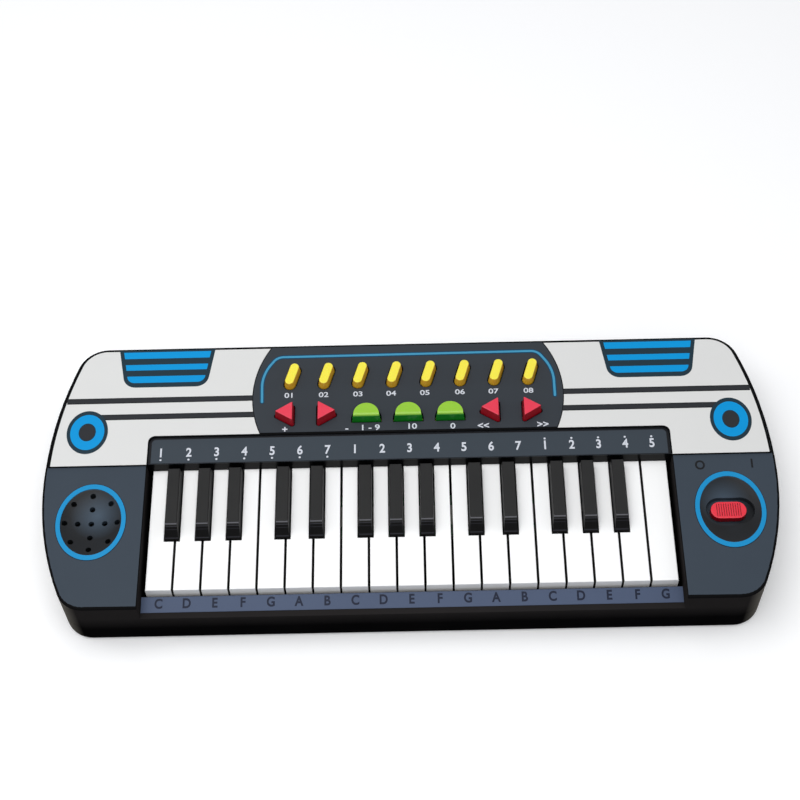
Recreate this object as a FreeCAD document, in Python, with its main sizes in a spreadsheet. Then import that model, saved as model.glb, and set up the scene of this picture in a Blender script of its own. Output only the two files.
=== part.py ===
"""Toy electronic keyboard: 19 white and 13 black keys, a button panel, a speaker dish and a power slider.

Millimetres. +X runs along the keys, +Y to the back, +Z up. The origin is at the middle of the
footprint, on the surface that the feet stand on.
"""
import FreeCAD
import Part
import Sketcher
import math
import os
from FreeCAD import Vector

WHITE_COUNT = 19
BLACK_GROUPS = ((1, 2, 3), (5, 6), (8, 9, 10), (12, 13), (15, 16, 17))
YELLOW_COUNT = 8
GREEN_COUNT = 3
RIB_GROOVES = 11
# How far a cut runs on past the material, and how far an added part reaches into its neighbour.
PAST = "1"
JOIN = "0.5"

SIZES = (
    # keys
    ("key_pitch", 15.3), ("key_gap", 1.2), ("key_play", 2.15), ("key_reach", 74.9),
    ("key_drop", 7.0), ("key_wall", 1.3), ("key_skin", 1.8), ("key_round", 0.5),
    ("white_high", 11.0), ("notch_start", 29.7), ("notch_play", 0.55), ("group_spread", 1.8),
    ("black_wide", 7.7), ("black_crown", 6.7), ("black_rise", 8.0), ("black_skirt", 8.0),
    ("black_front", 30.3), ("black_slope", 6.6), ("black_round", 0.6), ("black_back_gap", 3.4),
    ("black_hollow", 3.3), ("hinge_behind", 11.1), ("hinge_drop", 6.5), ("bead_round", 2.0),
    ("bead_play", 0.08), ("bead_mouth", 0.6), ("bead_wall", 2.4), ("tail_end", 3.5),
    ("saddle_front", 4.2), ("pusher_back", 52.0), ("pusher_thick", 2.0), ("pusher_drop", 12.4),
    ("key_press", 1.5),
    # case
    ("wing_wide", 57.5), ("front_rim", 13.8), ("strip_deep", 17.2), ("upper_deep", 61.4),
    ("side_line", 77.8), ("side_bow_front", 175.0), ("side_bow_back", 230.0),
    ("corner_front", 16.0), ("corner_back", 18.0), ("foot_rise", 1.0), ("tray_high", 14.0),
    ("shell_high", 37.7), ("deck_step", 1.2), ("deck_inset", 1.8), ("deck_ahead", 1.0),
    ("edge_round", 1.5),
    ("seam_round", 0.4), ("well_round", 0.5), ("wall", 2.2), ("plate", 2.4), ("floor_thick", 2.2),
    ("well_gap", 1.4), ("ledge_low", 6.5), ("ledge_high", 5.0), ("strip_corner", 4.0),
    ("strip_inset", 0.5), ("brow_lean", 0.7), ("brow_thick", 1.4), ("brow_clear", 0.5),
    ("inside_play", 0.4), ("rib_wide", 2.0), ("lip_play", 0.25), ("lip_thick", 1.2),
    ("lip_high", 2.0), ("lip_root", 3.0), ("film", 0.25), ("film_play", 0.3), ("film_front", 1.2),
    ("film_back", 0.8), ("letter_inset", 3.3), ("panel_front_wide", 84.2),
    ("panel_back_wide", 78.8), ("panel_bow", 62.0),
    # speaker dish and power slider
    ("dish_wide", 16.8), ("dish_deep", 20.2), ("dish_sink", 2.4), ("dish_back", 30.85),
    ("dish_skin", 2.7), ("dish_seat", 20.0), ("grille_hole", 1.6), ("grille_outer_wide", 14.6),
    ("grille_outer_deep", 16.6), ("grille_inner_wide", 7.5), ("grille_inner_deep", 8.8),
    ("speaker_round", 18.0), ("speaker_rim", 2.0), ("speaker_frame", 2.0), ("cone_edge", 1.5),
    ("cone_floor", 6.6), ("speaker_cone", 7.0), ("magnet_round", 11.0), ("magnet_high", 7.0),
    ("collar_thick", 1.6), ("collar_high", 3.0), ("seat_play", 0.3),
    ("recess_long", 26.9), ("recess_wide", 16.1), ("recess_sink", 5.0), ("knob_long", 20.2),
    ("knob_wide", 10.8), ("knob_sink", 0.9), ("knob_play", 2.4), ("knob_travel", 4.0),
    ("rib_pitch", 1.29), ("rib_cut", 0.5), ("rib_long", 7.8), ("neck", 3.0), ("neck_long", 4.5),
    ("neck_reach", 3.0), ("neck_play", 0.5), ("switch_high", 6.0), ("switch_long", 16.0),
    ("switch_deep", 8.0), ("switch_board_long", 40.0), ("switch_board_deep", 14.0),
    ("switch_post", 15.0), ("switch_post_round", 2.5),
    # panel buttons
    ("cap_play", 0.4), ("cap_round", 0.6), ("cap_lean", 8.0), ("flange", 1.2),
    ("flange_thick", 1.2), ("flange_gap", 0.3), ("button_travel", 1.5), ("press_gap", 0.4),
    ("plunger_round", 1.8), ("plunger_long", 1.8),
    ("yellow_long", 15.8), ("yellow_wide", 6.4), ("yellow_high", 5.0), ("yellow_tilt", 17.0),
    ("yellow_pitch", 19.6), ("yellow_back", 37.75), ("yellow_aside", 2.1),
    ("red_inner", 4.05), ("red_tip", 32.0), ("red_corner", 1.0), ("red_high", 6.2),
    ("red_lean", 6.0), ("red_round", 0.5), ("red_outer_x", 69.2), ("red_inner_x", 47.9),
    ("red_back", 12.05),
    ("green_base", 8.1), ("green_skirt", 1.7), ("green_high", 6.0), ("green_pitch", 23.85),
    ("green_back", 8.9), ("green_front_round", 2.0),
    # boards, cells and fasteners
    ("board_thick", 1.6), ("board_wide", 186.0), ("board_deep", 48.0), ("board_drop", 11.3),
    ("board_hole_inset", 5.0), ("chip_x", 27.0), ("chip_wide", 14.0), ("chip_high", 1.2),
    ("mat_sheet", 1.0), ("mat_wide", 160.0), ("mat_margin", 5.0), ("dome_round", 2.6),
    ("key_board_deep", 26.0), ("key_board_rise", 9.0), ("key_mat_deep", 12.0),
    ("rail_inset", 3.0), ("rail_wide", 1.6),
    ("cell_long", 50.5), ("cell_round", 7.25), ("cell_gap", 0.5), ("cell_rise", 0.6),
    ("bay_spare", 7.5), ("bay_high", 16.5), ("bay_roof", 1.6), ("bay_margin", 5.0),
    ("door_lap", 3.0), ("door_thick", 2.0), ("door_play", 0.3), ("door_sink", 0.1),
    ("door_tab", 6.0), ("tab_boss", 4.0), ("tab_high", 2.3), ("tab_play", 0.2),
    ("tab_margin", 2.0), ("contact_wide", 10.0), ("contact_high", 12.0), ("contact_thick", 0.5),
    ("spring_long", 4.0), ("spring_base", 4.5), ("spring_tip", 2.5),
    ("screw_round", 1.3), ("screw_long", 9.0), ("head_round", 2.6), ("head_high", 1.8),
    ("screw_play", 0.05), ("head_play", 0.4), ("pilot_spare", 0.3), ("post_round", 3.5),
    ("tray_post_round", 4.6), ("post_meet", 11.0), ("post_skin", 2.0), ("post_inset", 12.0),
    ("post_key_line", 4.0), ("post_corner_aside", 20.0), ("post_beside_board", 20.75),
    ("foot_round", 6.0), ("foot_high", 2.0), ("foot_play", 0.2), ("foot_side_inset", 26.0),
    ("foot_edge_inset", 30.0),
)

doc = FreeCAD.newDocument("toy_keyboard")
sheet = doc.addObject("Spreadsheet::Sheet", "sizes")
for row, (alias, value) in enumerate(SIZES, 1):
    sheet.set("A%d" % row, alias)
    sheet.set("B%d" % row, str(value))
    sheet.setAlias("B%d" % row, alias)
doc.recompute()

# Places worked out from the sheet, as expressions.
HALF_KEYS = "(sizes.key_pitch * %d / 2)" % WHITE_COUNT
HALF_WELL = "(%s + sizes.key_play)" % HALF_KEYS
HALF_WIDE = "(%s + sizes.wing_wide)" % HALF_WELL
HALF_DEEP = "((sizes.front_rim + sizes.key_reach + sizes.strip_deep + sizes.upper_deep) / 2)"
SIDE_LINE = "(sizes.side_line - %s)" % HALF_DEEP
KEY_FRONT = "(sizes.front_rim - %s)" % HALF_DEEP
WELL_FRONT = "(%s - sizes.well_gap)" % KEY_FRONT
STRIP_FRONT = "(%s + sizes.key_reach)" % KEY_FRONT
DECK_FRONT = "(%s + sizes.strip_deep)" % STRIP_FRONT
HINGE_BACK = "(sizes.key_reach + sizes.hinge_behind)"
HINGE_LINE = "(%s + %s)" % (KEY_FRONT, HINGE_BACK)
SPLIT = "(sizes.foot_rise + sizes.tray_high)"
FLOOR = "(sizes.foot_rise + sizes.floor_thick)"
WING_TOP = "(sizes.foot_rise + sizes.shell_high)"
DECK_TOP = "(%s + sizes.deck_step)" % WING_TOP
CEILING = "(%s - sizes.plate)" % WING_TOP
KEY_TOP = "(%s - sizes.key_drop)" % WING_TOP
HINGE_HIGH = "(%s - sizes.hinge_drop)" % KEY_TOP
DISH_X = "(%s + sizes.wing_wide / 2)" % HALF_WELL
DISH_Y = "(-sizes.dish_back)"
DISH_SEAT = "(%s - sizes.dish_sink - sizes.dish_skin)" % WING_TOP
RECESS_FLOOR = "(%s - sizes.recess_sink)" % WING_TOP
SWITCH_SEAT = "(%s - sizes.post_skin)" % RECESS_FLOOR
KNOB_X = "(%s - sizes.recess_long / 2 + sizes.knob_play + sizes.knob_long / 2)" % DISH_X
BOARD_TOP = "(%s - sizes.board_drop)" % DECK_TOP
BAY_HALF_LONG = "((sizes.cell_long + sizes.bay_spare) / 2)"
BAY_HALF_DEEP = "(sizes.cell_round * 3 + sizes.cell_gap * 2)"
BAY_Y = "((%s + %s) / 2)" % (DECK_FRONT, HALF_DEEP)
DOOR_TOP = "(sizes.foot_rise + sizes.door_thick)"
BAY_TOP = "(%s + sizes.bay_high)" % FLOOR
TAB_X = "(%s + sizes.bay_margin + sizes.door_tab / 2)" % BAY_HALF_LONG
POST_MEET = "(sizes.foot_rise + sizes.post_meet)"


def ledge_level(inward):
    """Height of the sloped ledge in front of the keys at a distance in from the front edge."""
    rise = "(sizes.ledge_low - sizes.ledge_high) / (sizes.front_rim - sizes.well_gap)"
    return "(%s - sizes.ledge_low + %s * (%s))" % (KEY_TOP, rise, inward)


def worked(expression):
    """The number that an expression gives now."""
    value = sheet.evalExpression(str(expression))
    return float(getattr(value, "Value", value))


def new_body(name):
    body = doc.addObject("PartDesign::Body", name)
    body.Label = name
    return body


def place(item, x="0", y="0", z="0", turn=None):
    """Bind where an object stands; turn is an angle about +Z in degrees."""
    for axis, expression in zip("xyz", (x, y, z)):
        item.setExpression("Placement.Base." + axis, expression)
    if turn is not None:
        item.Placement.Rotation = FreeCAD.Rotation(Vector(0, 0, 1), worked(turn))
        item.setExpression("Placement.Rotation.Angle", turn)


class Drawing:
    """A sketch on one of a body's own planes, with every point and radius bound to the sheet."""

    def __init__(self, body, plane, name, height="0"):
        support = [item for item in body.Origin.OriginFeatures if item.Role == plane][0]
        self.sketch = body.newObject("Sketcher::SketchObject", name)
        self.sketch.AttachmentSupport = (support, [""])
        self.sketch.MapMode = "FlatFace"
        self.sketch.setExpression("AttachmentOffset.Base.z", height)

    def rule(self, kind, *places):
        return self.sketch.addConstraint(Sketcher.Constraint(kind, *places))

    def bound(self, kind, places, expression):
        index = self.rule(kind, *places, worked(expression))
        self.sketch.setExpression("Constraints[%d]" % index, expression)

    def point(self, shape, end, x, y):
        self.bound("DistanceX", (-1, 1, shape, end), x)
        self.bound("DistanceY", (-1, 1, shape, end), y)

    def line(self, start, end):
        corners = [Vector(worked(x), worked(y), 0) for x, y in (start, end)]
        return self.sketch.addGeometry(Part.LineSegment(*corners))

    def arc(self, x, y, radius, first, last):
        """An arc from one angle to the next, anticlockwise, in degrees."""
        circle = Part.Circle(Vector(x, y, 0), Vector(0, 0, 1), radius)
        return self.sketch.addGeometry(
            Part.ArcOfCircle(circle, math.radians(first), math.radians(last)))

    def polygon(self, points):
        count = len(points)
        sides = [self.line(points[n], points[(n + 1) % count]) for n in range(count)]
        for n in range(count):
            self.rule("Coincident", sides[n], 2, sides[(n + 1) % count], 1)
            self.point(sides[n], 1, *points[n])
        return self

    def rectangle(self, left, right, low, high):
        return self.polygon(((left, low), (right, low), (right, high), (left, high)))

    def rounded(self, corners, radius):
        """The outline that stays a radius outside an anticlockwise polygon of corners."""
        at = [Vector(worked(x), worked(y), 0) for x, y in corners]
        size, count = worked(radius), len(at)
        outward = []
        for n in range(count):
            along = (at[(n + 1) % count] - at[n]).normalize()
            outward.append(Vector(along.y, -along.x, 0))
        sides = [self.sketch.addGeometry(Part.LineSegment(at[n] + outward[n] * size,
                                                          at[(n + 1) % count] + outward[n] * size))
                 for n in range(count)]
        for n in range(count):
            first = math.degrees(math.atan2(outward[n - 1].y, outward[n - 1].x))
            last = math.degrees(math.atan2(outward[n].y, outward[n].x))
            bend = self.arc(at[n].x, at[n].y, size, first, last if last > first else last + 360)
            self.rule("Tangent", sides[n - 1], 2, bend, 1)
            self.rule("Tangent", bend, 2, sides[n], 1)
            self.point(bend, 3, *corners[n])
            self.bound("Radius", (bend,), radius)
        return self

    def circle(self, x, y, radius):
        centre = Vector(worked(x), worked(y), 0)
        ring = self.sketch.addGeometry(Part.Circle(centre, Vector(0, 0, 1), worked(radius)))
        self.point(ring, 3, x, y)
        self.bound("Radius", (ring,), radius)
        return self

    def stadium(self, x, y, long, wide, turn=0):
        """A slot shape along X, or along Y where turn is 90."""
        middle = Vector(worked(x), worked(y), 0)
        reach = "((%s - %s) / 2)" % (long, wide)
        run, radius = worked(reach), worked("(%s) / 2" % wide)
        along = Vector(1, 0, 0) if turn == 0 else Vector(0, 1, 0)
        across = Vector(-along.y, along.x, 0)
        far, near = middle + along * run, middle - along * run
        cap = self.arc(far.x, far.y, radius, turn - 90, turn + 90)
        end = self.arc(near.x, near.y, radius, turn + 90, turn + 270)
        add = self.sketch.addGeometry
        upper = add(Part.LineSegment(far + across * radius, near + across * radius))
        lower = add(Part.LineSegment(near - across * radius, far - across * radius))
        for first, first_end, second, second_end in (
                (cap, 2, upper, 1), (upper, 2, end, 1), (end, 2, lower, 1), (lower, 2, cap, 1)):
            self.rule("Tangent", first, first_end, second, second_end)
        shift = (reach, "0") if turn == 0 else ("0", reach)
        self.point(cap, 3, "%s + %s" % (x, shift[0]), "%s + %s" % (y, shift[1]))
        self.point(end, 3, "%s - %s" % (x, shift[0]), "%s - %s" % (y, shift[1]))
        self.bound("Radius", (cap,), "%s / 2" % wide)
        self.rule("Equal", cap, end)
        return self

    def bulged(self, front_half, back_half, bow, front, back):
        """A panel with straight front and back edges and sides that bulge outwards."""
        corners = (("-" + front_half, front), (front_half, front), (back_half, back),
                   ("-" + back_half, back))
        at = [Vector(worked(x), worked(y), 0) for x, y in corners]
        chord = at[2] - at[1]
        radius = worked(bow)
        lift = math.sqrt(radius ** 2 - (chord.Length / 2) ** 2)
        inward = Vector(-chord.y, chord.x, 0) / chord.Length
        centre = (at[1] + at[2]) / 2 + inward * lift
        first = math.degrees(math.atan2(at[1].y - centre.y, at[1].x - centre.x))
        last = math.degrees(math.atan2(at[2].y - centre.y, at[2].x - centre.x))
        chain = [self.line(corners[0], corners[1]),
                 self.arc(centre.x, centre.y, radius, first, last),
                 self.line(corners[2], corners[3]),
                 self.arc(-centre.x, centre.y, radius, 180 - last, 180 - first)]
        for n, shape in enumerate(chain):
            self.rule("Coincident", shape, 2, chain[(n + 1) % 4], 1)
        for shape in (chain[0], chain[2]):
            corner = corners[0] if shape == chain[0] else corners[2]
            other = corners[1] if shape == chain[0] else corners[3]
            self.point(shape, 1, *corner)
            self.point(shape, 2, *other)
        self.bound("Radius", (chain[1],), bow)
        self.bound("Radius", (chain[3],), bow)
        return self

    def outline(self, inset="0"):
        """The plan of the case, moved in by an inset: straight front and back, bowed ends."""
        inset = "(%s)" % inset
        half, deep = worked(HALF_WIDE), worked(HALF_DEEP)
        side, gap = worked(SIDE_LINE), worked(inset)
        front_bow, back_bow = worked("sizes.side_bow_front"), worked("sizes.side_bow_back")
        ends = []
        for bow, corner, edge in ((front_bow, worked("sizes.corner_front"), -deep),
                                  (back_bow, worked("sizes.corner_back"), deep)):
            rise = edge - math.copysign(corner, edge) - side
            across = math.sqrt((bow - corner) ** 2 - rise ** 2)
            ends.append((half - bow, half - bow + across, side + rise,
                         corner - gap, bow - gap, math.degrees(math.atan2(rise, across))))
        (fx, fcx, fcy, fr, fbow, fturn), (bx, bcx, bcy, br, bbow, bturn) = ends
        add = self.sketch.addGeometry
        front = add(Part.LineSegment(Vector(-fcx, -deep + gap, 0), Vector(fcx, -deep + gap, 0)))
        chain = [front,
                 self.arc(fcx, fcy, fr, -90, fturn), self.arc(fx, side, fbow, fturn, 0),
                 self.arc(bx, side, bbow, 0, bturn), self.arc(bcx, bcy, br, bturn, 90),
                 add(Part.LineSegment(Vector(bcx, deep - gap, 0), Vector(-bcx, deep - gap, 0))),
                 self.arc(-bcx, bcy, br, 90, 180 - bturn),
                 self.arc(-bx, side, bbow, 180 - bturn, 180),
                 self.arc(-fx, side, fbow, 180, 180 - fturn),
                 self.arc(-fcx, fcy, fr, 180 - fturn, 270)]
        for n, shape in enumerate(chain):
            self.rule("Tangent", shape, 2, chain[(n + 1) % len(chain)], 1)
        for shape, name in ((1, "corner_front"), (2, "side_bow_front"), (3, "side_bow_back"),
                            (4, "corner_back"), (6, "corner_back"), (7, "side_bow_back"),
                            (8, "side_bow_front"), (9, "corner_front")):
            self.bound("Radius", (chain[shape],), "sizes.%s - %s" % (name, inset))
        self.rule("Horizontal", chain[0])
        self.rule("Horizontal", chain[5])
        self.bound("DistanceY", (-1, 1, chain[0], 1), "-(%s - %s)" % (HALF_DEEP, inset))
        self.bound("DistanceY", (-1, 1, chain[5], 1), "%s - %s" % (HALF_DEEP, inset))
        self.point(chain[2], 2, "%s - %s" % (HALF_WIDE, inset), SIDE_LINE)
        self.point(chain[7], 2, "-(%s - %s)" % (HALF_WIDE, inset), SIDE_LINE)
        self.bound("DistanceY", (-1, 1, chain[2], 3), SIDE_LINE)
        self.bound("DistanceY", (-1, 1, chain[7], 3), SIDE_LINE)
        return self


def pad(body, drawing, length, both=False, back=False, lean=None):
    """Add material over a drawing; lean narrows it as it rises, in degrees."""
    feature = body.newObject("PartDesign::Pad", body.Name + "_pad")
    feature.Profile = drawing.sketch
    feature.setExpression("Length", length)
    feature.Midplane = both
    feature.Reversed = back
    if lean:
        feature.TaperAngle = -worked(lean)
        feature.setExpression("TaperAngle", "-" + lean)
    return feature


def cut(body, drawing, depth, both=False, up=False):
    """Take material away below a drawing, or above it."""
    doc.recompute()
    before = body.Shape.Volume
    feature = body.newObject("PartDesign::Pocket", body.Name + "_cut")
    feature.Profile = drawing.sketch
    feature.setExpression("Length", depth)
    feature.Midplane = both
    feature.Reversed = up
    doc.recompute()
    if not body.Shape.Volume < before - 0.01:
        raise RuntimeError("a cut in %s takes nothing away" % body.Label)
    return feature


def edges_at(shape, height, inside=None):
    """Names of the edges that lie in the plane at a height, kept where inside(edge) is true."""
    names = []
    for number, edge in enumerate(shape.Edges, 1):
        box = edge.BoundBox
        if abs(box.ZMin - height) < 0.01 and abs(box.ZMax - height) < 0.01:
            if inside is None or inside(edge):
                names.append("Edge%d" % number)
    return names


def soften(body, radius, height, inside=None):
    """Round the edges of a body at a height in its own frame."""
    doc.recompute()
    tip = body.Tip
    names = edges_at(tip.Shape, worked(height), inside)
    feature = body.newObject("PartDesign::Fillet", body.Name + "_round")
    feature.Base = (tip, names)
    feature.setExpression("Radius", radius)
    doc.recompute()
    return feature


def cylinder(name, radius, height, x, y, z, lying=False):
    """A plain cylinder that stands on its base at x, y, z, or lies along +X from there."""
    item = doc.addObject("Part::Cylinder", name)
    item.setExpression("Radius", radius)
    item.setExpression("Height", height)
    place(item, x, y, z)
    if lying:
        item.Placement.Rotation = FreeCAD.Rotation(Vector(0, 1, 0), 90)
    return item


def box(name, long, deep, high, x, y, z):
    """A plain box centred on x and y that stands on z."""
    item = doc.addObject("Part::Box", name)
    item.setExpression("Length", long)
    item.setExpression("Width", deep)
    item.setExpression("Height", high)
    place(item, "%s - %s / 2" % (x, long), "%s - %s / 2" % (y, deep), z)
    return item


def fuse(name, items):
    whole = doc.addObject("Part::MultiFuse", name)
    whole.Shapes = items
    return whole


def group(label, items):
    """Separate solids kept together as one sub-part."""
    whole = doc.addObject("Part::Compound", label)
    whole.Label = label
    whole.Links = items
    return whole


# ---- where the repeated pieces stand ----

def black_places():
    """Each black key: the white-key boundary that it stands on and its shift within its group."""
    places = []
    for members in BLACK_GROUPS:
        middle = (len(members) - 1) / 2
        for order, boundary in enumerate(members):
            step = (order - middle) / middle
            places.append((boundary, "(%g * sizes.group_spread)" % step))
    return places


BLACKS = black_places()
SHIFT_AT = dict(BLACKS)


def white_x(number):
    return "(%g * sizes.key_pitch)" % (number - (WHITE_COUNT - 1) / 2)


def black_x(boundary):
    return "(%g * sizes.key_pitch + %s)" % (boundary - WHITE_COUNT / 2, SHIFT_AT[boundary])


def tail_sides(number):
    """Left and right side of a white key behind the front of the black keys, in its own frame."""
    half = "(sizes.key_pitch - sizes.key_gap) / 2"
    clear = "(sizes.black_wide / 2 + sizes.notch_play)"
    left, right = "-" + half, half
    if number in SHIFT_AT:
        left = "(-sizes.key_pitch / 2 + %s + %s)" % (SHIFT_AT[number], clear)
    if number + 1 in SHIFT_AT:
        right = "(sizes.key_pitch / 2 + %s - %s)" % (SHIFT_AT[number + 1], clear)
    return left, right


YELLOWS = ["(%g * sizes.yellow_pitch + sizes.yellow_aside)" % (n - (YELLOW_COUNT - 1) / 2)
           for n in range(YELLOW_COUNT)]
YELLOW_Y = "(%s + sizes.yellow_back)" % DECK_FRONT
GREENS = ["(%g * sizes.green_pitch)" % (n - (GREEN_COUNT - 1) / 2) for n in range(GREEN_COUNT)]
GREEN_Y = "(%s + sizes.green_back)" % DECK_FRONT
# Each red button: its place along X, and -1 where it points left or 1 where it points right.
REDS = (("(-sizes.red_outer_x)", -1), ("(-sizes.red_inner_x)", 1),
        ("sizes.red_inner_x", -1), ("sizes.red_outer_x", 1))
RED_Y = "(%s + sizes.red_back)" % DECK_FRONT


def post_places():
    """The eight posts that hold the two halves of the case together."""
    back = "(%s - sizes.post_inset)" % HALF_DEEP
    right = (("(%s - sizes.post_inset)" % HALF_WIDE, "(%s + sizes.post_inset)" % SIDE_LINE),
             ("(%s + sizes.post_inset)" % HALF_WELL, "(%s + sizes.post_key_line)" % KEY_FRONT),
             ("(%s + sizes.post_corner_aside)" % HALF_WELL, back),
             ("(sizes.board_wide / 2 + sizes.post_beside_board)", back))
    return [(side + x, y) for side in ("-", "") for x, y in right]


def board_posts():
    x = "(sizes.board_wide / 2 - sizes.board_hole_inset)"
    reach = "(sizes.board_deep / 2 - sizes.board_hole_inset)"
    return [(side + x, "(%s %s %s)" % (BAY_Y, way, reach)) for side in ("-", "") for way in ("-", "+")]


def foot_places():
    x = "(%s - sizes.foot_side_inset)" % HALF_WIDE
    y = "(%s - sizes.foot_edge_inset)" % HALF_DEEP
    return [(side + x, way + y) for side in ("-", "") for way in ("-", "")]


def switch_posts():
    return [("(%s %s sizes.switch_post)" % (DISH_X, way), DISH_Y) for way in ("-", "+")]


# ---- button plans, each with a margin so that a cap, its hole and its flange share one drawing ----

def yellow_plan(drawing, margin="0"):
    return drawing.stadium("0", "0", "(sizes.yellow_long + 2 * %s)" % margin,
                           "(sizes.yellow_wide + 2 * %s)" % margin, turn=90)


def red_plan(drawing, way, margin="0", x="0", y="0"):
    """A triangle with round corners, whose middles stay put whatever the margin."""
    core = "(sizes.red_inner - sizes.red_corner)"
    tip = "(%s / sin(sizes.red_tip * 1 deg))" % core
    wide = "((%s + %s) * tan(sizes.red_tip * 1 deg))" % (tip, core)
    flat = "%s - %d * %s" % (x, way, core)
    low, high = "%s - %s" % (y, wide), "%s + %s" % (y, wide)
    corners = [("%s + %d * %s" % (x, way, tip), y), (flat, high if way == 1 else low),
               (flat, low if way == 1 else high)]
    return drawing.rounded(corners, "(sizes.red_corner + %s)" % margin)


def green_plan(drawing, margin="0", x="0", y="0"):
    """A half round at the back with short straight sides down to a flat front."""
    radius = "(sizes.green_base + %s)" % margin
    skirt = "(sizes.green_skirt + %s)" % margin
    left, right = "%s - %s" % (x, radius), "%s + %s" % (x, radius)
    low = "%s - %s" % (y, skirt)
    top = drawing.arc(worked(x), worked(y), worked(radius), 0, 180)
    sides = [drawing.line((left, y), (left, low)), drawing.line((left, low), (right, low)),
             drawing.line((right, low), (right, y))]
    chain = [top] + sides
    for n, shape in enumerate(chain):
        drawing.rule("Coincident", shape, 2, chain[(n + 1) % 4], 1)
    drawing.point(top, 3, x, y)
    drawing.bound("Radius", (top,), radius)
    drawing.bound("DistanceY", (-1, 1, top, 1), y)
    drawing.bound("DistanceY", (-1, 1, top, 2), y)
    drawing.point(sides[0], 2, left, low)
    drawing.point(sides[1], 2, right, low)
    return drawing


# ---- keys ----

def cut_saddle(body, low):
    """Cut a key's tail so that it snaps on the bead from above."""
    saddle = Drawing(body, "YZ_Plane", "key_saddle")
    saddle.circle(HINGE_BACK, "-sizes.hinge_drop", "(sizes.bead_round + sizes.bead_play)")
    cut(body, saddle, "sizes.key_pitch", both=True)
    under = Drawing(body, "YZ_Plane", "key_under")
    under.rectangle("(%s - sizes.bead_round - sizes.bead_mouth)" % HINGE_BACK,
                    "(%s + sizes.tail_end + %s)" % (HINGE_BACK, PAST),
                    "%s - %s" % (low, PAST), "-sizes.hinge_drop")
    cut(body, under, "sizes.key_pitch", both=True)


def add_pusher(body, left, right):
    """Add the rib under a key that presses its rubber dome."""
    pusher = Drawing(body, "XY_Plane", "key_pusher", "-sizes.pusher_drop")
    pusher.rectangle(left, right, "(sizes.pusher_back - sizes.pusher_thick / 2)",
                     "(sizes.pusher_back + sizes.pusher_thick / 2)")
    pad(body, pusher, "sizes.pusher_drop - sizes.key_skin / 2")


def make_white_key(number):
    """A hollow white key; its frame starts at the middle of its front edge, at the top."""
    body = new_body("white_key_%02d" % (number + 1))
    half = "(sizes.key_pitch - sizes.key_gap) / 2"
    left, right = tail_sides(number)
    rear = "(%s + sizes.tail_end)" % HINGE_BACK
    low = "-sizes.white_high"
    wall, notch = "sizes.key_wall", "sizes.notch_start"

    def plan(drawing, inset, back_end):
        inner = "(%s - %s)" % (half, inset)
        tail_left, tail_right = "%s + %s" % (left, inset), "%s - %s" % (right, inset)
        shoulder = "%s - %s" % (notch, inset)
        points = [("-" + inner, inset), (inner, inset)]
        if number + 1 in SHIFT_AT:
            points += [(inner, shoulder), (tail_right, shoulder)]
        points += [(tail_right, back_end), (tail_left, back_end)]
        if number in SHIFT_AT:
            points += [(tail_left, shoulder), ("-" + inner, shoulder)]
        return drawing.polygon(points)

    pad(body, plan(Drawing(body, "XY_Plane", "key_plan", low), "0", rear), "sizes.white_high")
    soften(body, "sizes.key_round", "0")
    hollow = plan(Drawing(body, "XY_Plane", "key_hollow", low), wall,
                  "(%s - sizes.saddle_front)" % HINGE_BACK)
    cut(body, hollow, "sizes.white_high - sizes.key_skin", up=True)
    cut_saddle(body, low)
    add_pusher(body, "%s + %s / 2" % (left, wall), "%s - %s / 2" % (right, wall))
    place(body, white_x(number), KEY_FRONT, KEY_TOP)
    return body


def make_black_key(order, boundary):
    """A black key with leaning sides and front; the tail behind the strip is lower."""
    body = new_body("black_key_%02d" % (order + 1))
    rear = "(%s + sizes.tail_end)" % HINGE_BACK
    low = "-sizes.black_skirt"
    back_edge = "(sizes.key_reach - sizes.black_back_gap)"
    nose = "(sizes.black_front - %s)" % PAST
    over = "(sizes.black_rise + %s)" % PAST
    section = Drawing(body, "XZ_Plane", "key_section", "-sizes.black_front")
    section.polygon((("-sizes.black_wide / 2", low), ("sizes.black_wide / 2", low),
                     ("sizes.black_wide / 2", "0"), ("sizes.black_crown / 2", "sizes.black_rise"),
                     ("-sizes.black_crown / 2", "sizes.black_rise"), ("-sizes.black_wide / 2", "0")))
    pad(body, section, rear + " - sizes.black_front", back=True)
    slope = Drawing(body, "YZ_Plane", "key_slope")
    slope.polygon(((nose, "0"), ("sizes.black_front", "0"),
                   ("sizes.black_front + sizes.black_slope", "sizes.black_rise"),
                   ("sizes.black_front + sizes.black_slope", over), (nose, over)))
    cut(body, slope, "sizes.key_pitch", both=True)
    step = Drawing(body, "YZ_Plane", "key_step")
    step.rectangle(back_edge, "%s + %s" % (rear, PAST), "0", over)
    cut(body, step, "sizes.key_pitch", both=True)
    soften(body, "sizes.black_round", "sizes.black_rise")
    hollow = Drawing(body, "XY_Plane", "key_hollow", low)
    hollow.rectangle("-(sizes.black_crown / 2 - sizes.key_wall / 2)",
                     "(sizes.black_crown / 2 - sizes.key_wall / 2)",
                     "sizes.black_front + sizes.black_hollow",
                     "(%s - sizes.saddle_front)" % HINGE_BACK)
    cut(body, hollow, "sizes.black_skirt - sizes.key_skin", up=True)
    cut_saddle(body, low)
    add_pusher(body, "-(sizes.black_crown / 2 - sizes.key_wall / 2)",
               "(sizes.black_crown / 2 - sizes.key_wall / 2)")
    place(body, black_x(boundary), KEY_FRONT, KEY_TOP)
    return body


# ---- panel buttons ----

FLANGE_LOW = "(-(%s - %s) - sizes.flange_gap - sizes.flange_thick)" % (DECK_TOP, CEILING)


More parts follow.
